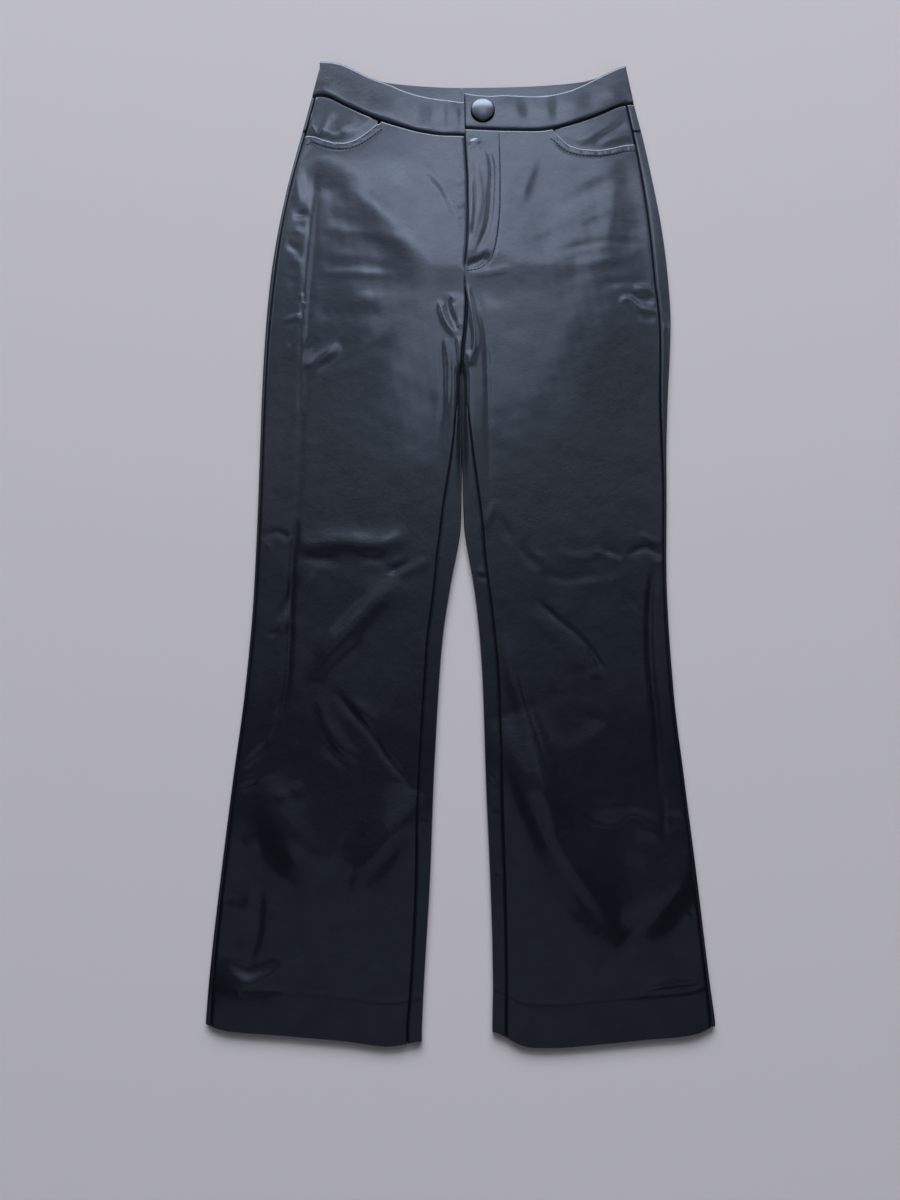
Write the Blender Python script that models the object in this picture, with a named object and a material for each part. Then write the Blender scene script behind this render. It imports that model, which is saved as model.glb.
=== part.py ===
"""Leather trousers, laid out flat on their back with the front upwards.

The frame is in metres with +Z up. The trousers lie on z = 0, the waist towards
+Y and the hems towards -Y. The wearer's right leg is at -X, the left at +X.
All sizes and tables below are in millimetres.

Every cloth piece is drawn as the outer skin of the garment, a grid of points,
and gets its wall from a Solidify modifier that grows it inwards. The upper
layer follows one height field, so that the pieces stay flush at their seams.
The back pieces lie on the surface and roll up round the folded edges.
"""
import math
from collections import namedtuple

import bpy
import bmesh

MM = 0.001
RIGHT, LEFT = -1, 1          # the wearer's sides: the sign of their X

# ------------------------------------------------------------ driving sizes
WALL = 1.0                   # leather cloth
BAND_WALL = 1.8              # waistband, cloth and facing together
HEM_WALL = 1.9               # cloth turned up on itself at the hem
SEAM_GAP = 0.3               # between two pieces that are sewn together
CROTCH_GAP = 0.6             # extra room where four seams meet
FOLD_HEIGHT = 5.2            # thickness of the laid garment at a folded edge
SAG = 1.0                    # how much lower the cloth lies between the edges
SAG_REACH = 20.0             # distance over which the roll of an edge fades
BAND_HEIGHT = 5.8            # top of the waistband's front part
LAP_STEP = 0.4               # how far an underlap sinks below its panel
BAND_SINK = 1.0              # how far the band's underlap sinks
LAP = 30.0                   # width of the fly's and the band's underlap
LAP_EASE = 12.0              # the lapping edge settles over this width
LAP_SETTLED = 1.0            # distance from its end where the lap has settled
FLY_FOOT = 268.0             # level of the fly's lowest stitch
BAND_CENTRE_LEVEL = 413.0    # nominal level of the waist seam
CROTCH = 160.0               # level where the four leg panels meet
CURL = 2.6                   # width of the curl at the centre front seam
HEM_LEVEL = -490.0           # nominal level of the hems
HEM_DEPTH = 38.0             # depth of the turned-up hem
YOKE_SIDE = 418.0            # level of the yoke seam at the side
YOKE_CENTRE = 388.0          # level of the yoke seam at the centre back
CENTRE_BACK = 2.5            # X of the centre back seam
BEARER_UNDERLAP = 12.0       # how far a pocket bearer goes under its front
BEARER_RISE = 0.8            # how far it rises towards the waist seam
BEARER_RUN = 14.0            # the distance above the mouth over which it rises
BEARER_TIP = 0.6             # least height of a bearer, at the pocket's corner
BUTTON_X, BUTTON_Y = 25.0, 441.0
BUTTON_RADIUS = 12.4
BUTTON_RISE = 3.4            # rim to the top of the dome
BUTTON_RIM = 1.1
BUTTON_POST_RADIUS = 4.5
BUTTON_POST = 0.9            # the post holds the rim this far off the cloth
BUTTON_SHARP = 40.0          # edges that turn by more degrees than this stay sharp

# ------------------------------------------------------------ cut of the garment
# A folded edge: its X at each level, and the width of back cloth that shows
# on top between the fold and the seam.
Edge = namedtuple("Edge", "level edge strip")

OUTER_EDGE = {
    RIGHT: [
        Edge(-480, -236.0, 5.0), Edge(-438, -234.0, 4.2), Edge(-352, -227.0, 3.4),
        Edge(-262, -218.5, 3.0), Edge(-170, -209.0, 2.8), Edge(-75, -203.5, 2.8),
        Edge(22, -202.0, 3.0), Edge(123, -201.5, 3.2), Edge(200, -199.5, 3.6),
        Edge(254, -196.0, 4.0), Edge(307, -189.5, 3.4), Edge(361, -180.0, 3.2),
        Edge(413, -168.0, 3.6), Edge(457, -158.0, 3.6), Edge(501, -148.0, 3.6),
    ],
    LEFT: [
        Edge(-480, 236.0, 4.0), Edge(-438, 231.5, 3.2), Edge(-352, 224.0, 3.0),
        Edge(-262, 215.5, 2.8), Edge(-170, 207.5, 2.8), Edge(-75, 204.5, 2.8),
        Edge(22, 207.5, 3.0), Edge(72, 209.0, 4.5), Edge(123, 212.0, 7.5),
        Edge(174, 216.0, 9.5), Edge(213, 218.0, 11.5), Edge(254, 216.5, 13.5),
        Edge(307, 212.0, 12.5), Edge(361, 204.0, 10.5), Edge(417, 194.0, 9.0),
        Edge(449, 187.0, 8.0), Edge(496, 179.0, 7.0),
    ],
}
INNER_EDGE = {
    RIGHT: [
        Edge(-494, -36.0, 14.0), Edge(-438, -33.5, 12.0), Edge(-352, -28.5, 13.3),
        Edge(-262, -25.3, 14.7), Edge(-170, -20.5, 14.5), Edge(-123, -17.0, 15.0),
        Edge(-75, -10.0, 15.5), Edge(-51, -6.0, 18.0), Edge(-27, -0.5, 20.5),
        Edge(-6, 1.5, 20.0), Edge(18, 1.6, 17.0), Edge(47, 1.6, 12.5),
        Edge(76, 1.6, 8.0), Edge(121, 1.6, 4.0), Edge(160, 2.1, 0.0),
    ],
    LEFT: [
        Edge(-488, 29.0, 13.0), Edge(-438, 30.0, 13.0), Edge(-352, 28.0, 14.0),
        Edge(-262, 24.5, 15.0), Edge(-170, 22.0, 16.0), Edge(-123, 19.3, 15.2),
        Edge(-75, 14.3, 15.0), Edge(-51, 10.5, 15.5), Edge(-18, 4.6, 19.0),
        Edge(12, 3.4, 17.0), Edge(47, 3.4, 12.5), Edge(83, 3.4, 8.0),
        Edge(108, 3.4, 5.0), Edge(132, 3.4, 3.0), Edge(160, 2.9, 0.0),
    ],
}

# The fly edge and the centre front seam below it, and how deep the two fronts
# curl down into that seam.
Centre = namedtuple("Centre", "level x curl_depth")
CENTRE_FRONT = [
    Centre(160, 2.5, 2.0), Centre(185, 4.0, 2.1), Centre(205, 6.0, 2.0),
    Centre(227, 6.6, 1.7), Centre(246, 5.2, 0.8), Centre(262, 4.8, 0.2),
    Centre(288, 7.6, 0.0), Centre(320, 9.0, 0.0), Centre(352, 8.8, 0.0),
    Centre(390, 7.0, 0.0), Centre(420, 5.5, 0.0), Centre(463, 5.0, 0.0),
]

# Edges that run across: their level at each X.
Across = namedtuple("Across", "x level")
HEM = {
    RIGHT: [
        Across(-236, -479), Across(-228, -483), Across(-216, -486), Across(-177, -489),
        Across(-140, -491), Across(-102, -495), Across(-82, -498), Across(-66, -499.5),
        Across(-50, -497), Across(-36, -494),
    ],
    LEFT: [
        Across(28, -485), Across(42, -491), Across(52, -497), Across(66, -500.5),
        Across(84, -500.5), Across(132, -497), Across(175, -493), Across(202, -491),
        Across(222, -487.5), Across(236, -480),
    ],
}
WAIST_SEAM = {
    RIGHT: [
        Across(-160, 457), Across(-152, 459), Across(-144, 459), Across(-136, 456),
        Across(-124, 449), Across(-110, 442), Across(-84, 430), Across(-66, 424),
        Across(-42, 417), Across(-14, 413), Across(40, 413),
    ],
    LEFT: [
        Across(5, 420), Across(24, 419), Across(54, 418), Across(82, 418),
        Across(100, 420.5), Across(129, 429), Across(152, 438), Across(168, 446),
        Across(176, 449), Across(188, 449),
    ],
}
BAND_TOP = {
    RIGHT: [
        Across(-149, 500.5), Across(-139, 500), Across(-128, 498), Across(-110, 489),
        Across(-93, 480), Across(-79, 475), Across(-55, 464), Across(-42, 460),
        Across(-28, 457), Across(5, 453.5), Across(40, 453),
    ],
    LEFT: [
        Across(5, 463), Across(20, 460), Across(36, 459), Across(50, 461),
        Across(66, 459.5), Across(87, 459.5), Across(108, 463), Across(124, 468),
        Across(139, 476), Across(154, 484), Across(169, 492), Across(180, 496),
    ],
}
BACK_BAND_TOP = [
    Across(-149, 500.5), Across(-128, 498), Across(-110, 489), Across(-93, 481),
    Across(-60, 475), Across(0, 471.5), Across(60, 472.5), Across(109, 475.5),
    Across(139, 479.5), Across(158, 486.5), Across(180, 496),
]
BACK_WAIST_SEAM = {
    RIGHT: [Across(-160, 457), Across(-110, 444), Across(-60, 433), Across(3, 428)],
    LEFT: [Across(2, 428), Across(70, 431), Across(130, 439), Across(188, 449)],
}
POCKET_MOUTH = {
    RIGHT: [
        Across(-172, 413), Across(-157, 413), Across(-149, 411), Across(-138, 406),
        Across(-126, 404.5), Across(-116, 406), Across(-106, 411), Across(-96, 419),
        Across(-84, 430),
    ],
    LEFT: [
        Across(100, 420.5), Across(106, 410), Across(114, 403), Across(124, 399),
        Across(136, 397), Across(151, 397), Across(166, 400), Across(176, 402.5),
        Across(192, 403.5),
    ],
}

# The largest folds of the upper layer. A fold runs from its foot to its head
# and bows sideways between them. A positive rise is a ridge, a negative one a
# trough, and width is half of its breadth.
Fold = namedtuple("Fold", "foot_x foot_y head_x head_y bow width rise")
FOLDS = [
    # right leg
    Fold(-190, -215, -150, 320, 12, 9, 0.7),      # pressed line down the thigh
    Fold(-136, -150, -64, -62, 10, 13, 1.5),      # long slanting ridge below the knee
    Fold(-107, -212, -132, -135, -8, 13, 0.9),    # it turns down the shin
    Fold(-52, -262, -116, -186, -6, 12, -0.9),    # hollow beside the shin
    Fold(-178, -118, -146, -58, 5, 11, 1.2),
    Fold(-104, -22, -56, -30, 4, 10, 1.0),        # ridge across the knee
    Fold(-150, -46, -92, -40, -4, 12, -0.8),
    Fold(-222, -402, -172, -402, -16, 10, 0.9),   # swag above the hem
    Fold(-206, -392, -186, -392, -6, 10, -0.8),
    Fold(-122, 60, -82, 240, 14, 26, 0.8),
    # left leg
    Fold(72, -86, 128, -140, 4, 12, -1.0),        # crease across the knee
    Fold(44, -12, 88, -56, -4, 10, 0.9),
    Fold(46, -130, 90, -270, -8, 14, 1.3),        # lengthwise ridge down the shin
    Fold(192, -200, 196, -84, 0, 9, -0.8),
    Fold(106, -290, 168, -290, 8, 14, 1.0),       # hump above the hem
    Fold(80, -310, 160, -412, 6, 13, -0.8),       # two slants that meet over the hem
    Fold(158, -412, 214, -342, -6, 13, -0.7),
    Fold(30, 86, 16, 238, 5, 9, 0.9),             # drag line beside the crotch
    Fold(-12, 96, -14, 196, -3, 9, 0.8),
    Fold(122, 138, 96, 244, 6, 22, 0.8),
    Fold(176, 206, 206, 232, 0, 9, 0.7),
]
FOLD_FLOOR, FOLD_CEILING = -1.4, 1.6   # limits of all folds together
FOLD_END = 0.2               # share of its length over which a fold starts and ends

# Levels between which the folds fade out under the pockets, beside the fly's
# foot and over the hem, the laps of the fly end, and the roll inside the leg
# gives way to the centre front seam.
POCKET_CALM = (394.0, 350.0)
FLY_CALM = (FLY_FOOT, FLY_FOOT - 30)
HEM_CALM = (HEM_LEVEL + HEM_DEPTH, HEM_LEVEL + HEM_DEPTH + 38)
LAP_END = (FLY_FOOT - 8, FLY_FOOT + 18)
INNER_ROLL_END = (240.0, CROTCH + 10)
SEAM_TURN = (CROTCH - 12, CROTCH)

# ------------------------------------------------------------ grid
ARC_STEPS = 3                # columns on each quarter of a folded edge
INNER_COLUMNS = [0.0, 1.4, 2.8, 4.2, 10.0, 20.0, LAP, LAP + LAP_EASE]
FIRST_LAP_COLUMN, LAST_LAP_COLUMN = 4, 6
COLUMNS_TO_POCKET = 4        # from the last of these to the pocket's corner
COLUMNS_AT_POCKET = 7        # from there to the side seam
FLOOR_COLUMNS = 3
YOKE_FLOOR_COLUMNS = 8
YOKE_ROWS = 2
BAND_ROWS = 3
BUTTON_SEGMENTS = 28
BUTTON_DOME_STEPS = 5
TOP_BLEND = 322.0            # above this level the rows turn to meet the waist
HEM_BLEND = -440.0           # below this one they turn to meet the hem
FRONT_LEVELS = (
    [BAND_CENTRE_LEVEL, 399, 383, 364, 343, TOP_BLEND, 306, 290, 276, 262, 246, 228, 210,
     192, 175, CROTCH, 140, 120, 100, 80]
    + [80 - 24 * step for step in range(1, 21)]
    + [HEM_BLEND, HEM_LEVEL + HEM_DEPTH + 1, HEM_LEVEL + HEM_DEPTH - 2, -472, HEM_LEVEL]
)
BACK_LEVELS = [BAND_CENTRE_LEVEL, 383, 352] + FRONT_LEVELS[5:]
LAP_ROWS = 7                 # rows of the front's underlap, from the waist down
HEM_ROWS = 3                 # rows that the turned-up hem covers
SETTLING_PASSES = 6          # passes in which a point's X and Y settle
TOUCH = 0.01                 # two heights or places closer than this are the same


def read(rows, key, column, at):
    """The named column where key equals at, on a smooth curve through the rows."""
    keys = [getattr(row, key) for row in rows]
    values = [getattr(row, column) for row in rows]
    if at <= keys[0]:
        return values[0]
    if at >= keys[-1]:
        return values[-1]
    i = max(k for k in range(len(keys) - 1) if keys[k] <= at)

    def slope(k):
        if k in (0, len(keys) - 1):
            k0, k1 = max(k - 1, 0), min(k + 1, len(keys) - 1)
            return (values[k1] - values[k0]) / (keys[k1] - keys[k0])
        before = (values[k] - values[k - 1]) / (keys[k] - keys[k - 1])
        after = (values[k + 1] - values[k]) / (keys[k + 1] - keys[k])
        if before * after <= 0:
            return 0.0
        return 2 * before * after / (before + after)

    span = keys[i + 1] - keys[i]
    t = (at - keys[i]) / span
    return (values[i] * (1 + 2 * t) * (1 - t) ** 2 + values[i + 1] * t * t * (3 - 2 * t)
            + span * (slope(i) * t * (1 - t) ** 2 - slope(i + 1) * t * t * (1 - t)))


def ease(start, end, at):
    """0 at start, 1 at end, with a soft run between them."""
    t = min(max((at - start) / (end - start), 0.0), 1.0)
    return t * t * (3 - 2 * t)


def mix(a, b, share):
    return a + (b - a) * share


# ------------------------------------------------------------ height of the upper layer
def outer_edge(side, y):
    return read(OUTER_EDGE[side], "level", "edge", y)


def inner_edge(side, y):
    """The fold inside the leg, or the centre front seam above the crotch."""
    if y >= CROTCH:
        return read(CENTRE_FRONT, "level", "x", y) + side * SEAM_GAP / 2
    return read(INNER_EDGE[side], "level", "edge", y)


def folds(x, y):
    """Sum of the large folds at a point."""
    total = 0.0
    for fold in FOLDS:
        run_x, run_y = fold.head_x - fold.foot_x, fold.head_y - fold.foot_y
        length = math.hypot(run_x, run_y)
        along = ((x - fold.foot_x) * run_x + (y - fold.foot_y) * run_y) / length ** 2
        if -FOLD_END < along < 1 + FOLD_END:
            aside = ((x - fold.foot_x) * run_y - (y - fold.foot_y) * run_x) / length
            aside -= fold.bow * 4 * along * (1 - along)
            ends = ease(-FOLD_END, FOLD_END, along) * ease(1 + FOLD_END, 1 - FOLD_END, along)
            total += fold.rise * ends * math.exp(-(aside / fold.width) ** 2)
    return min(max(total, FOLD_FLOOR), FOLD_CEILING)


def free_cloth(x, y):
    """0 where the waist, pockets, fly or hem keep the cloth flat, 1 elsewhere."""
    centre = read(CENTRE_FRONT, "level", "x", y)
    past_fly = max(ease(LAP + LAP_EASE, LAP + 2.5 * LAP_EASE, abs(x - centre)),
                   ease(*FLY_CALM, y))
    return past_fly * ease(*POCKET_CALM, y) * ease(*HEM_CALM, y)


def skin_height(side, x, y):
    """Height of the upper layer's outer face."""
    roll = math.exp(-(abs(x - outer_edge(side, y)) / SAG_REACH) ** 2)
    inside = math.exp(-(abs(x - inner_edge(side, y)) / SAG_REACH) ** 2)
    roll = max(roll, inside * ease(*INNER_ROLL_END, y))
    return FOLD_HEIGHT + free_cloth(x, y) * (1 - roll) * (folds(x, y) - SAG)


def lap_rise(x, y):
    """How far the left front stands up over the underlap of the right one."""
    beyond = x - read(CENTRE_FRONT, "level", "x", y)
    over = WALL + SEAM_GAP - LAP_STEP
    return over * ease(LAP + LAP_EASE, LAP + LAP_SETTLED, beyond) * ease(*LAP_END, y)


def lap_sink(x, y):
    """How far the right front sinks to pass under the left one."""
    before = read(CENTRE_FRONT, "level", "x", y) - x
    return LAP_STEP * ease(LAP_EASE, LAP_SETTLED, before) * ease(*LAP_END, y)


def front_height(side, x, y):
    height = skin_height(side, x, y)
    return height + lap_rise(x, y) if side == LEFT else height - lap_sink(x, y)


# ------------------------------------------------------------ points of the skin
def rolled(edge, outward, arc, top):
    """X and Z on a folded edge. arc runs along the skin, from the edge's
    outermost line, upwards onto the top or downwards onto the surface."""
    radius = top / 2
    quarter = radius * math.pi / 2
    if abs(arc) > quarter:
        return edge - outward * (radius + abs(arc) - quarter), top if arc > 0 else 0.0
    return (edge - outward * radius * (1 - math.cos(arc / radius)),
            radius * (1 + math.sin(arc / radius)))


def arc_to_seam(strip, top):
    """Length of the skin from the fold's outermost line to a seam on top."""
    radius = top / 2
    if strip >= radius:
        return radius * math.pi / 2 + strip - radius
    return radius * math.acos(1 - strip / radius)


QUARTER = FOLD_HEIGHT / 2 * math.pi / 2


def waist_level(side, x):
    """Top edge of a front: the pocket mouth, then the waist seam."""
    mouth = POCKET_MOUTH[side]
    corner = mouth[-1] if side == RIGHT else mouth[0]
    if (x - corner.x) * side > -TOUCH:
        return read(mouth, "x", "level", x)
    return read(WAIST_SEAM[side], "x", "level", x) - SEAM_GAP / 2


def row_level(side, nominal, x, top_level):
    """Level of a row at x: it turns to meet the top edge and the hem."""
    if nominal > TOP_BLEND:
        share = (nominal - TOP_BLEND) / (BAND_CENTRE_LEVEL - TOP_BLEND)
        return mix(TOP_BLEND, top_level(x), share)
    if nominal < HEM_BLEND:
        share = (nominal - HEM_BLEND) / (HEM_LEVEL - HEM_BLEND)
        return mix(HEM_BLEND, read(HEM[side], "x", "level", x), share)
    return nominal


def settled(side, nominal, x_at, top_level):
    """X and Y of a column on a row, which both depend on each other."""
    y = nominal
    for _ in range(SETTLING_PASSES):
        y = row_level(side, nominal, x_at(y), top_level)
    return x_at(y), y


def side_seam(side, y):
    """X of the front's edge at the outer seam."""
    strip = read(OUTER_EDGE[side], "level", "strip", y) + SEAM_GAP
    return outer_edge(side, y) - side * strip


def inner_seam_arc(side, y):
    strip = read(INNER_EDGE[side], "level", "strip", y)
    return arc_to_seam(strip, FOLD_HEIGHT)


def inner_column(side, y, distance):
    """X and Z drop of a front's point, at this distance along the skin from
    its inner edge."""
    outward = -side
    if y >= CROTCH:
        edge = inner_edge(side, y)
        depth = read(CENTRE_FRONT, "level", "curl_depth", y)
        angle = min(distance / (CURL * math.pi / 2), 1.0) * math.pi / 2
        past = max(distance - CURL * math.pi / 2, 0.0)
        return (edge - outward * (CURL * (1 - math.cos(angle)) + past),
                depth * (1 - math.sin(angle)))
    edge = inner_edge(side, y)
    start = mix(inner_seam_arc(side, y) + SEAM_GAP / 2, CROTCH_GAP, ease(*SEAM_TURN, y))
    x, z = rolled(edge, outward, start + distance, FOLD_HEIGHT)
    return x, FOLD_HEIGHT - z


def column_shares(side):
    """Shares of the way from the last inner column to the side seam. One of
    them meets the pocket's corner on the waist seam."""
    last = INNER_COLUMNS[-1]
    corner = POCKET_MOUTH[side][-1 if side == RIGHT else 0]
    start, _ = inner_column(side, BAND_CENTRE_LEVEL, last)
    end, _ = settled(side, BAND_CENTRE_LEVEL, lambda y: side_seam(side, y),
                     lambda x: read(WAIST_SEAM[side], "x", "level", x))
    to_corner = (corner.x - start) / (end - start)
    shares = [to_corner * i / COLUMNS_TO_POCKET for i in range(1, COLUMNS_TO_POCKET + 1)]
    rest = 1 - to_corner
    shares += [to_corner + rest * i / COLUMNS_AT_POCKET for i in range(1, COLUMNS_AT_POCKET + 1)]
    return shares


# ------------------------------------------------------------ sheets to solids
def clear_scene():
    for item in list(bpy.data.objects):
        bpy.data.objects.remove(item, do_unlink=True)


def leather(name, colour, roughness, metallic=0.0):
    """A plain Principled material."""
    material = bpy.data.materials.new(name)
    material.use_nodes = True
    shader = material.node_tree.nodes["Principled BSDF"]
    shader.inputs["Base Color"].default_value = (*colour, 1.0)
    shader.inputs["Roughness"].default_value = roughness
    shader.inputs["Metallic"].default_value = metallic
    return material


def add_object(name, mesh, material):
    item = bpy.data.objects.new(name, mesh)
    mesh.materials.append(material)
    bpy.context.collection.objects.link(item)
    return item


def cloth(name, rows, wall, material, hem_rows=0):
    """A sheet through rows of points, with a wall grown inwards from it.
    None marks a place that the cloth doesn't reach. The last hem_rows rows
    are turned up, so their wall is thicker."""
    shape = bmesh.new()
    grid = [[shape.verts.new([c * MM for c in point]) if point else None for point in row]
            for row in rows]
    for upper, lower in zip(grid, grid[1:]):
        for a, b, c, d in zip(upper, lower, lower[1:], upper[1:]):
            if a and b and c and d:
                shape.faces.new((a, b, c, d))
    loose = [vert for vert in shape.verts if not vert.link_faces]
    bmesh.ops.delete(shape, geom=loose, context="VERTS")
    mesh = bpy.data.meshes.new(name)
    shape.verts.index_update()
    hem = [vert.index for row in grid[len(grid) - hem_rows:] for vert in row
           if vert and vert.is_valid]
    shape.to_mesh(mesh)
    shape.free()
    mesh.shade_smooth()
    item = add_object(name, mesh, material)
    solidify = item.modifiers.new("wall", "SOLIDIFY")
    solidify.thickness = (HEM_WALL if hem_rows else wall) * MM
    solidify.offset = -1.0
    if hem_rows:
        item.vertex_groups.new(name="turned up").add(hem, 1.0, "REPLACE")
        solidify.vertex_group = "turned up"
        solidify.thickness_vertex_group = wall / HEM_WALL
    return item


def facing_up(side, rows):
    """Rows that run towards -X are turned over, for their faces to point out."""
    return rows if side == RIGHT else [row[::-1] for row in rows]


# ------------------------------------------------------------ the pieces
def across_top(side, nominal, top, height):
    """Points of one row of the upper layer, from the side seam to the centre."""
    def inner_x(y, distance):
        return inner_column(side, y, distance)[0]

    row = []
    for share in reversed(column_shares(side)):
        x, y = settled(side, nominal, lambda y: mix(
            inner_x(y, INNER_COLUMNS[-1]), side_seam(side, y), share), top)
        row.append((x, y, height(side, x, y)))
    for distance in reversed(INNER_COLUMNS):
        x, y = settled(side, nominal, lambda y: inner_x(y, distance), top)
        row.append((x, y, height(side, x, y) - inner_column(side, y, distance)[1]))
    return row


def underlap(nominal, top, height):
    """Points of one row of a right piece that passes under the left one."""
    row = []
    for distance in INNER_COLUMNS[FIRST_LAP_COLUMN:LAST_LAP_COLUMN + 1]:
        x, y = settled(RIGHT, nominal, lambda y: inner_column(LEFT, y, distance)[0], top)
        row.append((x, y, height(x, y)))
    return row


def front(side, name, material):
    """Front leg panel, from the side seam to the inner leg or the fly."""
    def top(x):
        return waist_level(side, x)

    def lapped(x, y):
        return skin_height(LEFT, x, y) - LAP_STEP

    rows = []
    for number, nominal in enumerate(FRONT_LEVELS):
        row = across_top(side, nominal, top, front_height)
        if side == RIGHT:
            under = underlap(nominal, top, lapped)
            row += under if number < LAP_ROWS else [None] * len(under)
        rows.append(row)
    return cloth(name, facing_up(side, rows), WALL, material, hem_rows=HEM_ROWS)


def outer_roll(side, y, top=FOLD_HEIGHT):
    """X and Z of the columns that roll round an outer edge, from the seam on
    top to the surface."""
    strip = read(OUTER_EDGE[side], "level", "strip", y)
    quarter = top / 2 * math.pi / 2
    arcs = [arc_to_seam(strip, top)]
    arcs += [quarter - quarter * i / ARC_STEPS for i in range(2 * ARC_STEPS + 1)]
    return [rolled(outer_edge(side, y), side, arc, top) for arc in arcs]


def inner_roll(side, y):
    """X and Z of the columns that roll up round the inner edge of a leg."""
    end = mix(inner_seam_arc(side, y) - SEAM_GAP / 2, -CROTCH_GAP, ease(*SEAM_TURN, y))
    arcs = [-QUARTER + QUARTER * i / ARC_STEPS for i in range(ARC_STEPS + 1)]
    arcs += [end * i / ARC_STEPS for i in range(1, ARC_STEPS)] + [end]
    return [rolled(inner_edge(side, y), -side, arc, FOLD_HEIGHT) for arc in arcs]


def upper_or_flat(side, x, y, z):
    """The rolled strip takes the height of the upper layer once it is on top."""
    return skin_height(side, x, y) if z > FOLD_HEIGHT - TOUCH else z


def roll_points(side, nominal, level, top=FOLD_HEIGHT, first=0):
    """Points of one row round an outer edge, down to the surface."""
    row = []
    for column in range(first, 2 * ARC_STEPS + 2):
        x, y = settled(side, nominal, lambda y: outer_roll(side, y, top)[column][0], level)
        z = outer_roll(side, y, top)[column][1]
        row.append((x, y, upper_or_flat(side, x, y, z) if top == FOLD_HEIGHT else z))
    return row


def floor_points(side, nominal, level, columns, top=FOLD_HEIGHT, end_x=None):
    """Points of one row on the surface, from the outer roll to the centre
    back seam or to end_x."""
    centre = CENTRE_BACK + side * SEAM_GAP / 2
    row = []
    for column in range(1, columns + 1):
        x, y = settled(side, nominal, lambda y: mix(
            outer_roll(side, y, top)[-1][0], end_x(y) if end_x else centre, column / columns), level)
        row.append((x, y, 0.0))
    return row


def yoke_seam(side, x):
    """Level of the yoke seam: level round the side, then down to the centre back."""
    reach = outer_edge(side, YOKE_SIDE) - side * FOLD_HEIGHT / 2 - CENTRE_BACK
    return mix(YOKE_CENTRE, YOKE_SIDE, min(max((x - CENTRE_BACK) / reach, 0.0), 1.0))


def back(side, name, material):
    """Back leg panel, from the side seam round the edge, over the surface and
    up round the inner edge to the inner leg seam."""
    def top(x):
        return yoke_seam(side, x) - SEAM_GAP / 2

    rows = []
    for nominal in BACK_LEVELS:
        row = roll_points(side, nominal, top)
        in_leg = nominal <= CROTCH
        end_x = (lambda y: inner_roll(side, y)[0][0]) if in_leg else None
        row += floor_points(side, nominal, top, FLOOR_COLUMNS, end_x=end_x)
        for column in range(1, 2 * ARC_STEPS + 1):
            x, y = settled(side, nominal, lambda y: inner_roll(side, y)[column][0], top)
            z = inner_roll(side, y)[column][1]
            row.append((x, y, upper_or_flat(side, x, y, z)) if in_leg else None)
        rows.append(row)
    return cloth(name, facing_up(-side, rows), WALL, material, hem_rows=HEM_ROWS)


def back_yoke(side, name, material):
    """Back yoke, from its seam up to the waist seam, round the side."""
    waist_side = read(WAIST_SEAM[side], "x", "level", outer_edge(side, BAND_CENTRE_LEVEL + 40))
    rows = []
    for step in range(YOKE_ROWS + 1):
        share = 1 - step / YOKE_ROWS

        def at_side(_):
            return mix(YOKE_SIDE + SEAM_GAP / 2, waist_side - SEAM_GAP / 2, share)

        def on_floor(x):
            waist = read(BACK_WAIST_SEAM[side], "x", "level", x) - SEAM_GAP / 2
            return mix(yoke_seam(side, x) + SEAM_GAP / 2, waist, share)

        rows.append(roll_points(side, BAND_CENTRE_LEVEL, at_side)
                    + floor_points(side, BAND_CENTRE_LEVEL, on_floor, YOKE_FLOOR_COLUMNS))
    return cloth(name, facing_up(-side, rows), WALL, material)


def pocket_bearer(side, name, material):
    """The piece inside a pocket mouth. It lies under the front's edge and
    rises to the waist seam."""
    columns = COLUMNS_AT_POCKET + 1

    def waist(x):
        return read(WAIST_SEAM[side], "x", "level", x) - SEAM_GAP / 2

    def mouth(x):
        return min(read(POCKET_MOUTH[side], "x", "level", x), waist(x) - BEARER_TIP)

    def foot(x):
        return mouth(x) - BEARER_UNDERLAP

    def under(side, x, y):
        return FOLD_HEIGHT - WALL - SEAM_GAP

    def rising(side, x, y):
        return under(side, x, y) + BEARER_RISE * ease(0, BEARER_RUN, y - mouth(x))

    rows = [across_top(side, BAND_CENTRE_LEVEL, waist, rising)[:columns],
            across_top(side, BAND_CENTRE_LEVEL, mouth, under)[:columns],
            across_top(side, BAND_CENTRE_LEVEL, foot, under)[:columns]]
    return cloth(name, facing_up(side, rows), WALL, material)


def band_height(side, x, y):
    """Height of the waistband's front part: the left end stands up over the
    underlap of the right one."""
    beyond = x - read(CENTRE_FRONT, "level", "x", y)
    if side == LEFT:
        over = BAND_WALL + SEAM_GAP - BAND_SINK
        return BAND_HEIGHT + over * ease(LAP + LAP_EASE, LAP + LAP_SETTLED, beyond)
    return BAND_HEIGHT - BAND_SINK * ease(-1.5 * LAP_EASE, -LAP_SETTLED, beyond)


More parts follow.
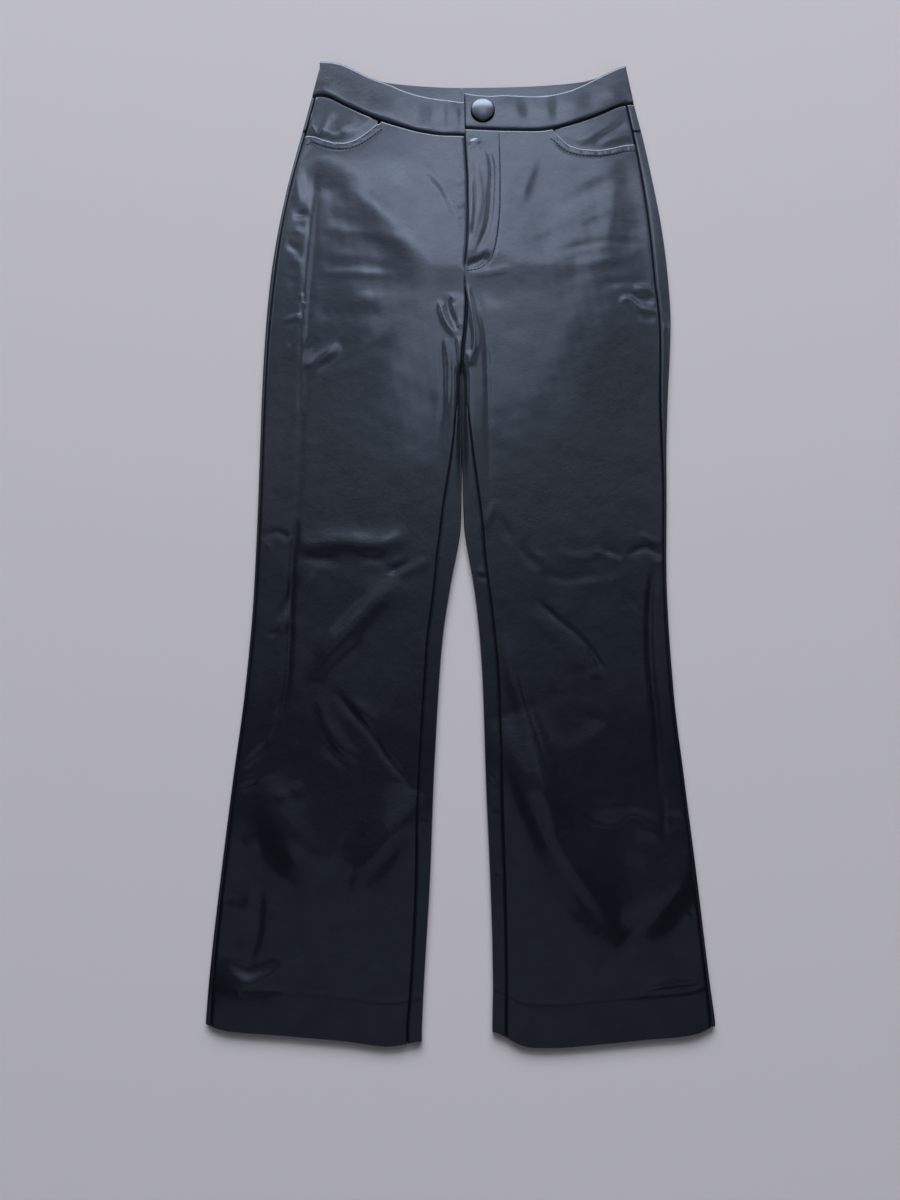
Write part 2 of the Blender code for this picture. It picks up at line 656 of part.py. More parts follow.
def waistband(side, name, material):
    """Half of the waistband, from the centre front round the side to the
    centre back. The right half goes on under the left one."""
    rows = []
    for step in range(BAND_ROWS + 1):
        share = 1 - step / BAND_ROWS

        def in_front(x):
            seam = read(WAIST_SEAM[side], "x", "level", x) + SEAM_GAP / 2
            return mix(seam, read(BAND_TOP[side], "x", "level", x), share)

        def behind(x):
            seam = read(BACK_WAIST_SEAM[side], "x", "level", x) + SEAM_GAP / 2
            return mix(seam, read(BACK_BAND_TOP, "x", "level", x), share)

        def lapped(x, y):
            return BAND_HEIGHT - BAND_SINK

        under = underlap(BAND_CENTRE_LEVEL, in_front, lapped) if side == RIGHT else []
        over = across_top(side, BAND_CENTRE_LEVEL, in_front, band_height)
        rows.append((over + under)[::-1]
                    + roll_points(side, BAND_CENTRE_LEVEL, in_front, BAND_HEIGHT, first=1)
                    + floor_points(side, BAND_CENTRE_LEVEL, behind, YOKE_FLOOR_COLUMNS, BAND_HEIGHT))
    return cloth(name, facing_up(-side, rows), BAND_WALL, material)


def button(name, material):
    """Domed button with its rim and the post that holds it off the band."""
    floor = band_height(LEFT, BUTTON_X, BUTTON_Y) + SEAM_GAP
    rim = floor + BUTTON_POST
    profile = [(0.0, floor), (BUTTON_POST_RADIUS, floor), (BUTTON_POST_RADIUS, rim),
               (BUTTON_RADIUS - BUTTON_RIM / 2, rim), (BUTTON_RADIUS, rim + BUTTON_RIM / 2)]
    for step in range(BUTTON_DOME_STEPS + 1):
        angle = math.pi / 2 * step / BUTTON_DOME_STEPS
        profile.append(((BUTTON_RADIUS - BUTTON_RIM / 2) * math.cos(angle),
                        rim + BUTTON_RIM + (BUTTON_RISE - BUTTON_RIM) * math.sin(angle)))
    shape = bmesh.new()
    chain = [shape.verts.new((BUTTON_X * MM + r * MM, BUTTON_Y * MM, z * MM)) for r, z in profile]
    edges = [shape.edges.new(pair) for pair in zip(chain, chain[1:])]
    bmesh.ops.spin(shape, geom=chain + edges, cent=(BUTTON_X * MM, BUTTON_Y * MM, 0),
                   axis=(0, 0, 1), angle=2 * math.pi, steps=BUTTON_SEGMENTS, use_merge=True)
    bmesh.ops.remove_doubles(shape, verts=shape.verts, dist=TOUCH * MM)
    bmesh.ops.recalc_face_normals(shape, faces=shape.faces)
    mesh = bpy.data.meshes.new(name)
    shape.to_mesh(mesh)
    shape.free()
    mesh.shade_smooth()
    mesh.set_sharp_from_angle(angle=math.radians(BUTTON_SHARP))
    return add_object(name, mesh, material)


def main():
    clear_scene()
    hide = leather("black leather cloth", (0.016, 0.019, 0.026), 0.38)
    band = leather("black leather waistband", (0.014, 0.017, 0.023), 0.36)
    metal = leather("dark nickel", (0.16, 0.16, 0.17), 0.3, metallic=1.0)
    for side, name in ((RIGHT, "right"), (LEFT, "left")):
        front(side, "front_" + name, hide)
        back(side, "back_" + name, hide)
        back_yoke(side, "back_yoke_" + name, hide)
        pocket_bearer(side, "pocket_bearer_" + name, hide)
        waistband(side, "waistband_" + name, band)
    button("button", metal)


main()
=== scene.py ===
# %% [markdown]
# # Black leather trousers, laid flat
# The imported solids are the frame: they say where every seam, fold and edge lies.
# On top of them this notebook sews the same garment again as thin sheets of
# cloth, with their creases, stitches and finish. Everything is in millimetres
# until the last step of each piece, where it is turned into metres.

import math
from collections import namedtuple

import bpy
import numpy as np
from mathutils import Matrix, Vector


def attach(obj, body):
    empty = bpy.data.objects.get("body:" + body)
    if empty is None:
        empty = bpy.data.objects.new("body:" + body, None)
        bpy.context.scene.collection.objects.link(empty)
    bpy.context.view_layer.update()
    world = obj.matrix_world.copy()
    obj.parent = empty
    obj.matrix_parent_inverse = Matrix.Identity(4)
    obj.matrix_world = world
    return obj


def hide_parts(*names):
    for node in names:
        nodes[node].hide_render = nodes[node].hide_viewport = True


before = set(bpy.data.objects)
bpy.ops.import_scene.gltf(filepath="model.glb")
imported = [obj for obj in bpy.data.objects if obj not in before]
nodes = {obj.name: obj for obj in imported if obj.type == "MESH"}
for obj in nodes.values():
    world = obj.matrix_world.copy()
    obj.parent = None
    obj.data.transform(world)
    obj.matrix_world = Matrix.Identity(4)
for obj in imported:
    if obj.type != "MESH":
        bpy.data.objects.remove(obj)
bpy.context.view_layer.update()

MM = 0.001
RIGHT, LEFT = -1, 1            # the wearer's sides: the sign of their X
WORD = {RIGHT: "right", LEFT: "left"}

# %% [markdown]
# ## Reading the cut from the solids
# Each outline of the garment, such as a fold or a hem, is a line that can be
# read off the solids: cut them at many levels, and at each level keep the point
# furthest out. A light smoothing takes away the corners between their facets.

# %% Tools for tracing
def edge_ends(name):
    """Both ends of every edge of a solid, in millimetres."""
    mesh = nodes[name].data
    points = np.empty(len(mesh.vertices) * 3, np.float32)
    mesh.vertices.foreach_get("co", points)
    pairs = np.empty(len(mesh.edges) * 2, np.int32)
    mesh.edges.foreach_get("vertices", pairs)
    return points.reshape(-1, 3)[pairs].reshape(-1, 2, 3).astype(float) / MM


def ease(start, end, at):
    """0 at start, 1 at end, with a soft run between them."""
    t = np.clip((at - start) / (end - start), 0, 1)
    return t * t * (3 - 2 * t)


def mix(a, b, share):
    return a + (b - a) * share


EDGES = {name: edge_ends(name) for name in nodes}
SMOOTHING = np.array([1, 2, 3, 2, 1]) / 9


def trace(names, axis, levels, pick, above=-1.0, below=99.0):
    """The outline of some solids as a function: at each level of x (axis 0) or
    y (axis 1), the lowest or highest place where they are cut."""
    ends = np.concatenate([EDGES[name] for name in names])
    start, run = ends[:, 0], ends[:, 1] - ends[:, 0]
    found_at, found = [], []
    for level in levels:
        with np.errstate(divide="ignore", invalid="ignore"):
            share = (level - start[:, axis]) / run[:, axis]
        cut = (share >= 0) & (share <= 1)
        point = start[cut] + share[cut, None] * run[cut]
        point = point[(point[:, 2] > above) & (point[:, 2] < below)]
        if len(point):
            found_at.append(level)
            found.append(pick(point[:, 1 - axis]))
    padded = np.pad(found, 2, mode="reflect", reflect_type="odd")
    smooth = np.convolve(padded, SMOOTHING, mode="valid")
    return lambda at: np.interp(at, found_at, smooth)


print("edges read:", sum(len(ends) for ends in EDGES.values()))

# %% [markdown]
# The garment lies in two layers, the front above the back, so some outlines are
# read from one layer alone. Each one becomes a function of the level.

# %% Trace the outlines
SEAM = 0.3                     # gap between two sewn pieces
LEG_GAP = 0.4                  # gap between the legs just below the crotch
LEGS_MEET = 75.0               # level above which the legs lie that close
CROTCH, HIP = 160.0, 200.0
SIDE_TOP = 452.0               # above this level the side seam goes on beside the fold
ON_TOP, UNDERNEATH = 3.0, 2.0  # the solids' upper layer is above 3, the lower below 2
# where the outlines that run across are read, from x to x
HEM_X = {RIGHT: (-235, -37), LEFT: (32, 234)}
FRONT_X = {RIGHT: (-166, -5), LEFT: (6, 187)}
WAIST_X = {RIGHT: (-156, 5), LEFT: (6, 187)}
BAND_X = {RIGHT: (-147, 5), LEFT: (6, 178)}
outer_fold, outer_seam, inner_fold, inner_seam = {}, {}, {}, {}
hem, top_edge, waist_seam, back_waist, band_top, yoke_seam = {}, {}, {}, {}, {}, {}
for side, word in WORD.items():
    outward, inward = (np.max, np.min) if side == LEFT else (np.min, np.max)
    front_x = np.arange(*FRONT_X[side], 1)
    hem_x, waist_x, band_x = (np.arange(*x[side], 3) for x in (HEM_X, WAIST_X, BAND_X))
    outer_fold[side] = trace(["back_" + word, "back_yoke_" + word, "waistband_" + word], 1,
                             np.arange(-476, 494, 4), outward)
    outer_seam[side] = trace(["front_" + word, "pocket_bearer_" + word], 1,
                             np.arange(-476, 458, 2), outward)
    inner_fold[side] = trace(["back_" + word], 1, np.arange(-482, 160, 4), inward)
    inner_seam[side] = trace(["front_" + word], 1, np.arange(-482, 158, 4), inward)
    hem[side] = trace(["front_" + word, "back_" + word], 0, hem_x, np.min)
    top_edge[side] = trace(["front_" + word], 0, front_x, np.max)
    waist_seam[side] = trace(["waistband_" + word], 0, waist_x, np.min, ON_TOP)
    band_top[side] = trace(["waistband_" + word], 0, band_x, np.max, ON_TOP)
    back_waist[side] = trace(["waistband_" + word], 0, waist_x, np.min, below=UNDERNEATH)
    yoke_seam[side] = trace(["back_" + word], 0, waist_x, np.max)


def beside_fold(seam, fold):
    """A seam that goes on beside the fold above its last traced level."""
    return lambda y: np.where(y > SIDE_TOP, fold(y) + seam(SIDE_TOP) - fold(SIDE_TOP), seam(y))


def drawn_together(own, other):
    """A leg's inner fold, close to the other leg's one below the crotch."""
    def fold(y):
        share = 0.5 - LEG_GAP / (2 * abs(own(y) - other(y)))
        return own(y) + share * (other(y) - own(y)) * ease(0, LEGS_MEET, y)
    return fold


for side in WORD:
    outer_seam[side] = beside_fold(outer_seam[side], outer_fold[side])
inner_fold = {side: drawn_together(inner_fold[side], inner_fold[-side]) for side in WORD}
back_band_top = trace(["waistband_right", "waistband_left"], 0, np.arange(-148, 178, 3), np.max,
                      below=UNDERNEATH)
centre_front = trace(["front_left", "waistband_left"], 1, np.arange(CROTCH + 0.5, 460, 3),
                     np.min, ON_TOP)
print("crotch at", float(centre_front(CROTCH)), "outer folds at the hip",
      float(outer_fold[RIGHT](HIP)), float(outer_fold[LEFT](HIP)))

# %% [markdown]
# ## The relief of the cloth
# Leather laid on a table is never flat: it is full where it turns over at a
# folded edge, slack between the edges, and it carries creases. Each crease is
# drawn as a soft ridge or trough along a few points. It fades towards
# its ends. One of its sides can be steeper, and its crest can be sharp.

# %% What a crease is
Crease = namedtuple("Crease", "path rise width lean sharp", defaults=(0.0, 0.0))
CREASE_REACH = 3.2             # widths aside at which a crease has died out


def make_creases(*rows):
    """Creases from rows of path, rise and width, and where needed lean and sharp."""
    return [Crease(*row) for row in rows]


def drawn_curve(path, per_span=6):
    """Points of a smooth curve through a path (a Catmull-Rom curve)."""
    points = np.array(path, float)
    if len(points) == 2:
        return points
    padded = np.vstack([2 * points[0] - points[1], points, 2 * points[-1] - points[-2]])
    a, b, c, d = (padded[k:len(padded) - 3 + k, None] for k in range(4))
    t = np.linspace(0, 1, per_span, endpoint=False)[None, :, None]
    curve = 0.5 * (2 * b + (c - a) * t + (2 * a - 5 * b + 4 * c - d) * t * t
                   + (3 * b - a - 3 * c + d) * t ** 3)
    return np.vstack([curve.reshape(-1, 2), points[-1]])


def beside(path, x, y, reach):
    """For the points within reach of a curve: which they are, how far aside
    they lie (positive to its right), how far along it, from 0 to 1, and the
    curve's length."""
    curve = drawn_curve(path)
    low, high = curve.min(0) - reach, curve.max(0) + reach
    near = (x > low[0]) & (x < high[0]) & (y > low[1]) & (y < high[1])
    px, py = x[near], y[near]
    run = np.diff(curve, axis=0)
    length = np.hypot(*run.T)
    total = length.sum()
    best = np.full(px.shape, np.inf)
    aside, along = np.zeros(px.shape), np.zeros(px.shape)
    before = 0.0
    for (cx, cy), (rx, ry), span in zip(curve, run, length):
        t = np.clip(((px - cx) * rx + (py - cy) * ry) / span ** 2, 0, 1)
        dx, dy = px - cx - t * rx, py - cy - t * ry
        distance = np.hypot(dx, dy)
        closer = distance < best
        best = np.where(closer, distance, best)
        aside = np.where(closer, np.copysign(distance, dx * ry - dy * rx), aside)
        along = np.where(closer, (before + t * span) / total, along)
        before += span
    return near, aside, along, total


def relief(creases, x, y):
    """Sum of the creases at each point."""
    height = np.zeros(x.shape)
    for crease in creases:
        near, aside, along, total = beside(crease.path, x, y, CREASE_REACH * crease.width)
        right = crease.width * (1 - max(crease.lean, 0))
        left = crease.width * (1 + min(crease.lean, 0))
        width = np.where(aside > 0, right, left)
        profile = np.exp(-(np.abs(aside) / width) ** (2 - 0.8 * crease.sharp))
        end = min(0.5, 1.6 * crease.width / total + 0.2)      # share that fades
        fade = np.clip(np.minimum(along, 1 - along) / end, 0, 1)
        height[near] += crease.rise * profile * np.sin(fade * math.pi / 2)
    return height


sample = Crease([(0, 0), (40, 0)], 1.0, 5.0)
print("a crease 5 mm wide, 4 mm beside its line:",
      round(float(relief([sample], np.array([20.0]), np.array([4.0]))[0]), 2))

# %% [markdown]
# ### Right leg
# One broad soft fold runs from the pocket down to the crotch. Small creases fan
# out above the crotch and gather on the hip, and a fine line follows the outer
# fold. They could be sculpted with a brush, but as rows of points each one can
# be moved, raised or narrowed later without touching the others.

# %% Creases of the right leg, from the waist to the knee
CREASES = make_creases(
    ([(-157, 398), (-129, 377), (-94, 341), (-66, 309), (-37, 278), (-8, 244)], 1.2, 25, 0.1),
    ([(-46, 375), (-25, 352), (-11, 323), (1, 289)], -0.4, 8),
    ([(-37, 382), (-14, 352), (-2, 309)], 0.35, 8),
    ([(-8, 359), (5, 361)], 0.3, 2.4),
    ([(-3, 346), (5, 346)], 0.2, 1.8),
    ([(-7, 335), (6, 334)], 0.35, 2.6),
    ([(-2, 322), (5, 323)], 0.2, 2),
    ([(-6, 376), (4, 377)], 0.15, 3),
    ([(-150, 385), (-153, 343), (-157, 287), (-160, 234), (-162, 177), (-161, 123),
      (-161, 49), (-163, -13), (-165, -53)], -0.4, 4),
    ([(-162, -2), (-166, -43), (-167, -83), (-167, -133), (-170, -179), (-179, -203),
      (-186, -225)], -1.4, 3.2),
    ([(-141, 377), (-145, 332), (-148, 287), (-152, 231), (-153, 177), (-151, 102),
      (-152, 18), (-154, -43)], 0.3, 11),
    ([(-171, 375), (-168, 332)], 0.5, 7),
    ([(-174, 323), (-157, 325)], -0.5, 3.5),
    ([(-174, 307), (-163, 302)], 0.25, 4),
    ([(-181, 293), (-164, 280)], -0.35, 4),
    ([(-177, 273), (-162, 269)], 0.3, 5),
    ([(-179, 246), (-162, 251)], -0.2, 5),
    ([(-144, 307), (-92, 302), (-52, 291)], 0.22, 8, 0.3),
    ([(-148, 280), (-114, 278), (-72, 273)], 0.15, 6),
    ([(-147, 259), (-104, 258), (-64, 257)], 0.32, 6, 0.35),
    ([(-119, 228), (-91, 229), (-62, 231)], 0.4, 9),
    ([(-153, 217), (-113, 213), (-62, 218)], -0.25, 9),
    ([(-156, 154), (-141, 167), (-123, 181)], 1.1, 6),
    ([(-149, 149), (-121, 164), (-88, 181), (-68, 198)], -0.5, 9),
    ([(-160, 168), (-154, 179), (-145, 189)], -0.4, 5),
    ([(-167, 232), (-160, 234)], 0.5, 1.8),
    ([(-162, 229), (-157, 228)], -0.5, 1.8),
    ([(-162, 225), (-158, 224)], 0.4, 1.6),
    ([(-183, 206), (-172, 209), (-162, 214)], 0.7, 2.2, -0.3, 0.5),
    ([(-164, 201), (-162, 209)], 0.3, 2),
    ([(-180, 176), (-174, 181)], 0.3, 3),
    ([(-182, 201), (-163, 207)], -0.3, 3),
    ([(-21, 228), (-17, 212), (-11, 200), (-2, 189)], 0.9, 2.6, 0, 0.5),
    ([(-14, 233), (-10, 215), (-2, 198)], -0.6, 3),
    ([(-9, 232), (-4, 231)], 0.5, 2),
    ([(-9, 222), (-5, 221)], 0.4, 1.8),
    ([(-2, 207), (1, 198)], 0.5, 2),
    ([(-2, 190), (0, 174), (0, 153)], 0.6, 2.4),
    ([(-15, 190), (-12, 153), (-13, 110)], 0.4, 2.4, 0, 0.5),
    ([(-8, 182), (-6, 134), (-9, 91)], 0.3, 3),
    ([(-19, 188), (-16, 123), (-22, 81)], -0.3, 3),
    ([(-197, -21), (-182, -16), (-167, -24)], -0.6, 3),
    ([(-193, -31), (-187, -30)], 0.5, 2),
    ([(-171, -26), (-166, -21)], 0.4, 1.8),
    ([(-182, 74), (-174, 91), (-167, 107)], -0.3, 4),
    ([(-146, 112), (-134, 127), (-124, 138)], 0.3, 6),
)
print("creases so far:", len(CREASES))

# %% [markdown]
# At the knee the cloth is slack and folds across. Below it two long arms come
# down from both edges and meet above the hem, and near the hem the cloth rises
# in one rounded ripple.

# %% Creases of the right leg, from the knee to the hem
CREASES += make_creases(
    ([(-160, -31), (-120, -25), (-85, -28), (-50, -19)], 2, 10),
    ([(-161, -39), (-139, -43), (-117, -44)], -0.77, 5.5),
    ([(-99, -42), (-72, -43)], -0.66, 4),
    ([(-73, -56), (-62, -52), (-50, -45)], -0.77, 3, -0.3, 0.4),
    ([(-72, -49), (-56, -41)], 0.34, 3),
    ([(-64, -63), (-40, -49), (-28, -43)], 0.46, 5),
    ([(-135, -43), (-155, -80), (-176, -113), (-190, -121)], 0.63, 5.5, 0.2),
    ([(-160, -55), (-168, -80), (-180, -105)], -0.77, 4),
    ([(-190, -119), (-176, -115)], -0.66, 2.2),
    ([(-57, -63), (-93, -94), (-127, -136), (-140, -166)], 2.2, 11),
    ([(-136, -178), (-131, -201), (-118, -226), (-99, -243)], 0.8, 4.5),
    ([(-92, -123), (-113, -138), (-129, -155), (-136, -172)], -0.55, 6),
    ([(-87, -75), (-109, -93), (-126, -117)], -0.66, 8),
    ([(-123, -172), (-102, -197), (-84, -217), (-70, -238), (-48, -262)], -1.2, 2.8, 0, 0.4),
    ([(-109, -178), (-93, -194), (-82, -208)], 1, 7, 0.2),
    ([(-136, -216), (-123, -232), (-106, -247)], -0.66, 6),
    ([(-126, -203), (-111, -225), (-95, -241)], 0.46, 5),
    ([(-208, -247), (-197, -236), (-184, -222)], -0.88, 4),
    ([(-212, -268), (-202, -264), (-193, -261)], -0.66, 3),
    ([(-209, -260), (-195, -255)], 0.46, 3),
    ([(-164, -270), (-148, -264)], 0.46, 7),
    ([(-189, -255), (-172, -294), (-154, -326), (-133, -348), (-108, -357)], 4.5, 25, 0.2),
    ([(-46, -266), (-61, -304), (-82, -335), (-108, -357)], 5.4, 22, -0.2),
    ([(-178, -277), (-164, -268)], 0.46, 5),
    ([(-204, -324), (-195, -313)], 0.46, 7),
    ([(-226, -366), (-212, -367), (-199, -371)], -0.99, 6),
    ([(-236, -404), (-227, -431), (-211, -449), (-191, -449), (-172, -440)], 0.57, 14, -0.3),
    ([(-222, -422), (-212, -436), (-198, -443), (-182, -438), (-165, -426)], 3.1, 17, -0.6),
    ([(-190, -355), (-190, -384), (-192, -402), (-199, -428)], -0.88, 6),
    ([(-212, -402), (-204, -424)], -0.55, 6),
    ([(-173, -422), (-141, -438), (-103, -446)], 0.34, 8),
    ([(-39, -299), (-31, -298)], 0.57, 2),
    ([(-39, -304), (-31, -304)], -0.44, 2),
    ([(-42, -381), (-33, -380)], 0.34, 2),
    ([(-206, -449), (-204, -458)], 0.34, 1.6),
    ([(-184, -474), (-149, -474)], 0.23, 6),
)
print("creases so far:", len(CREASES))

# %% [markdown]
# ### Left leg
# Inside the fly's stitching the cloth stands in a ridge with a trough beside it.
# Shallow lines run from the crotch out to the hip, where the edge is crumpled.

# %% Creases of the left leg, from the waist to the knee
CREASES += make_creases(
    ([(26, 407), (34, 383), (34, 351), (30, 311), (15, 273)], -0.8, 3.6, 0, 0.2),
    ([(16, 389), (21, 343), (14, 298)], 0.6, 4.5),
    ([(11, 366), (12, 326), (9, 292)], -0.35, 3),
    ([(9, 398), (16, 405), (24, 410)], 0.5, 3),
    ([(20, 405), (26, 398)], -0.4, 3),
    ([(7, 408), (20, 413)], -0.4, 2.5),
    ([(94, 394), (73, 354), (58, 318), (45, 287)], -0.2, 13),
    ([(82, 391), (71, 359), (64, 334)], 0.3, 6),
    ([(74, 298), (119, 323), (161, 338)], 0.2, 9, 0.2),
    ([(122, 314), (159, 330)], 0.1, 4),
    ([(102, 346), (139, 366), (173, 380)], 0.2, 9, 0.2),
    ([(94, 328), (138, 350), (168, 366)], -0.12, 7),
    ([(93, 280), (132, 290), (160, 294), (194, 290)], -0.15, 4),
    ([(105, 267), (158, 273), (189, 280)], 0.25, 7),
    ([(144, 246), (172, 249), (198, 248)], -0.25, 4),
    ([(164, 389), (160, 337), (156, 264)], 0.4, 14, -0.3),
    ([(5, 257), (30, 259), (57, 264)], 0.35, 4),
    ([(26, 262), (63, 267), (121, 272)], 0.8, 15),
    ([(6, 267), (20, 271), (32, 281)], -1.3, 4),
    ([(9, 242), (32, 233), (58, 220)], -0.35, 12),
    ([(7, 248), (12, 220), (16, 188), (13, 164)], 0.8, 3.2),
    ([(9, 174), (12, 157)], 0.7, 4),
    ([(15, 242), (26, 204), (29, 144), (29, 91), (30, 28)], -0.4, 3.2),
    ([(32, 198), (54, 184), (81, 177)], 0.2, 9),
    ([(165, 225), (175, 230), (188, 219), (205, 216)], 0.7, 3, 0, 0.3),
    ([(180, 243), (202, 239)], 0.5, 3.5),
    ([(175, 234), (188, 230), (203, 228)], -0.5, 3),
    ([(183, 212), (202, 207)], -0.3, 4),
    ([(208, 197), (219, 203)], 0.4, 3),
    ([(209, 212), (218, 216)], -0.3, 3),
    ([(36, 18), (30, 2), (24, -13)], 0.5, 4),
    ([(40, 3), (52, -28)], -0.4, 4),
)
print("creases so far:", len(CREASES))

# %% [markdown]
# The knee's folds are finer here, and a long crease follows the outer fold. One
# of the two arms above the hem is the highest fold of the garment.

# %% Creases of the left leg, from the knee to the hem
CREASES += make_creases(
    ([(58, -24), (74, -39), (90, -45)], 0.34, 5, 0.3),
    ([(96, -35), (120, -43), (140, -35)], 0.34, 4.5, 0.2),
    ([(105, -63), (135, -69), (167, -61)], 0.23, 6, 0.2),
    ([(80, -55), (105, -63), (139, -57)], -0.55, 5),
    ([(61, -24), (68, -39), (79, -55)], -0.66, 5),
    ([(132, -33), (158, -47)], 0.57, 4),
    ([(140, -31), (162, -41)], -0.44, 3.5),
    ([(166, -39), (184, -32), (202, -41)], -0.88, 3, 0, 0.4),
    ([(178, -18), (201, -29)], 0.69, 2.6),
    ([(194, -44), (203, -49)], 0.46, 3),
    ([(192, -49), (187, -92), (186, -146), (190, -201), (192, -268)], -1.7, 3.8, 0, 0.1),
    ([(73, -82), (96, -103), (113, -117), (129, -135), (142, -157)], -1.1, 2.6, 0, 0.3),
    ([(65, -95), (95, -121), (120, -153)], 0.57, 7),
    ([(16, -56), (27, -57)], 0.69, 2),
    ([(16, -61), (28, -62)], -0.55, 2.4),
    ([(26, -255), (35, -267)], 0.69, 2.4),
    ([(158, -72), (170, -86), (186, -105)], -0.55, 4),
    ([(43, -115), (53, -162), (66, -211), (82, -268), (95, -304)], 2.2, 13, 0.3),
    ([(54, -143), (63, -181), (74, -216), (85, -251)], -0.55, 2.2),
    ([(117, -197), (142, -203)], -0.44, 6),
    ([(97, -232), (121, -222), (141, -209)], 0.34, 8),
    ([(125, -157), (141, -155)], 0.34, 4),
    ([(47, -196), (65, -254), (91, -317), (128, -379), (158, -403)], 7.7, 27, 0.25),
    ([(229, -320), (204, -355), (183, -381), (158, -403)], 3.8, 22, -0.3),
    ([(117, -294), (145, -300), (163, -290), (186, -296)], -0.55, 3.5, 0, 0.2),
    ([(123, -285), (146, -283), (165, -277)], 0.34, 6),
    ([(168, -304), (191, -309)], 0.46, 5),
    ([(195, -273), (194, -317)], -0.44, 2.5),
    ([(196, -294), (212, -292)], -0.44, 3),
    ([(208, -372), (222, -384)], -0.44, 2.5),
    ([(164, -453), (189, -446), (226, -443)], 0.46, 2.4),
    ([(30, -264), (37, -268)], 0.46, 2.4),
    ([(31, -292), (39, -289)], 0.46, 3),
    ([(31, -342), (40, -344)], -0.44, 4),
    ([(52, -370), (56, -406)], 0.34, 10),
    ([(93, -469), (167, -464)], 0.23, 8),
)
print("creases so far:", len(CREASES))

# %% [markdown]
# Between the creases the hide swells very slightly. A few long waves that cross
# each other at odd angles do it, and keep reflections from being ruler-straight.

# %% Swells of the hide
Swell = namedtuple("Swell", "length turn shift rise")
SWELLS = [
    Swell(118, 20, 0.4, 0.08), Swell(83, -38, 2.1, 0.06), Swell(61, 71, 4.0, 0.05),
    Swell(44, 8, 1.2, 0.035), Swell(37, -66, 5.1, 0.03), Swell(23, 33, 0.9, 0.02),
    Swell(17, -17, 3.3, 0.012), Swell(13, 80, 2.6, 0.008),
]


def swell(x, y):
    height = np.zeros(x.shape)
    for wave in SWELLS:
        turn = math.radians(wave.turn)
        along = x * math.sin(turn) + y * math.cos(turn)
        height += wave.rise * np.sin(2 * math.pi * along / wave.length + wave.shift)
    return height


print("swells:", len(SWELLS), "at most", round(sum(wave.rise for wave in SWELLS), 2), "mm high")

# %% [markdown]
# All of this together is the skin, the height of the upper layer's outer face.
# It is full and calm at a fold, taut at the waist and the hem, and slack between.

# %% Height of the upper layer
TOP = 5.2                      # thickness of the laid garment at a folded edge
SAG, SAG_REACH = 1.0, 20.0     # how far it sags, and how far from a fold that starts
OUTER_CALM, INNER_CALM = 4.0, 3.0        # creases die out this close to a fold
LAP, LAP_EASE = 30.0, 12.0     # width of the fly's underlap, and how fast it settles
FLY_FOOT = 268.0               # level of the fly's lowest stitch
TAUT, SLACK = 394.0, 350.0     # levels between which the pull of the waist ends
HEM_TURN = -452.0              # level of the turned-up hem's edge
GULLY, GULLY_REACH = 2.4, 4.5  # how both legs dip towards each other below the crotch


def skin(side, x, y):
    """Height of the upper layer's outer face."""
    past_fly = np.maximum(ease(LAP, LAP + 5 * LAP_EASE, abs(x - centre_front(y))),
                          ease(FLY_FOOT, FLY_FOOT - 30, y))
    free = past_fly * ease(TAUT, SLACK, y) * ease(HEM_TURN, HEM_TURN + 38, y)
    to_fold = abs(x - outer_fold[side](y))
    edge = np.exp(-(to_fold / SAG_REACH) ** 2)
    inner = np.where(y < CROTCH, inner_fold[side](y), centre_front(y))
    to_inner = abs(x - inner)
    inside = np.exp(-(to_inner / SAG_REACH) ** 2) * ease(240, CROTCH + 10, y)
    slack = free * (1 - np.maximum(edge, inside))
    calm = 1 - np.exp(-(to_fold / OUTER_CALM) ** 2)
    calm = calm * (1 - np.exp(-(to_inner / INNER_CALM) ** 2) * (y < CROTCH - 4))
    gully = GULLY * np.exp(-(to_inner / GULLY_REACH) ** 2)
    gully = gully * ease(CROTCH + 2, CROTCH - 14, y) * ease(-20, 90, y)
    return TOP - SAG * slack - gully + calm * (relief(CREASES, x, y) + slack * swell(x, y))


# %% [markdown]
# A sewn edge dips into its seam, which draws the seam as a dark line. A folded
# edge turns over in a half round that is a little flatter than a circle.

# %% Sewn and folded edges
SEAM_LIP = (0.9, 0.7)          # depth and reach of the dip beside a leg's seam
FOLD_ROUND = 0.55              # a fold is this much narrower than it is high


def lip(distance, depth, reach):
    """How far a sewn edge dips, at this distance from its seam."""
    return depth * np.exp(-(np.maximum(distance, 0) / reach) ** 1.4)


def side_lip(side, x, y):
    """Dip beside the side seam, less where the seam runs out to the fold."""
    strip = abs(outer_seam[side](y) - outer_fold[side](y))
    return lip(abs(outer_seam[side](y) - x), *SEAM_LIP) * ease(0, 6, strip)


def inner_lip(side, x, y):
    """Dip beside the inner leg seam, up to where both legs lie close."""
    return lip(abs(inner_seam[side](y) - x), *SEAM_LIP) * ease(120, 100, y)


def rolled(edge, outward, arc, top):
    """X and Z on a folded edge. arc runs along the skin, from the edge's
    outermost line, up onto the top or down onto the surface."""
    radius = top / 2
    turn = np.clip(arc / radius, -math.pi / 2, math.pi / 2)
    past = np.maximum(np.abs(arc) - radius * math.pi / 2, 0)
    inward = FOLD_ROUND * radius * (1 - np.cos(turn)) + past
    return edge - outward * inward, radius * (1 + np.sin(turn))


def arc_to_seam(strip, top):
    """Length of the skin from a fold's outermost line to a seam on top."""
    radius, reach = top / 2, FOLD_ROUND * top / 2
    turning = radius * np.arccos(np.clip(1 - strip / reach, -1, 1))
    return np.where(strip >= reach, radius * math.pi / 2 + strip - reach, turning)


print("skin from an edge to a seam 10 mm in:", round(float(arc_to_seam(10.0, TOP)), 2), "mm")

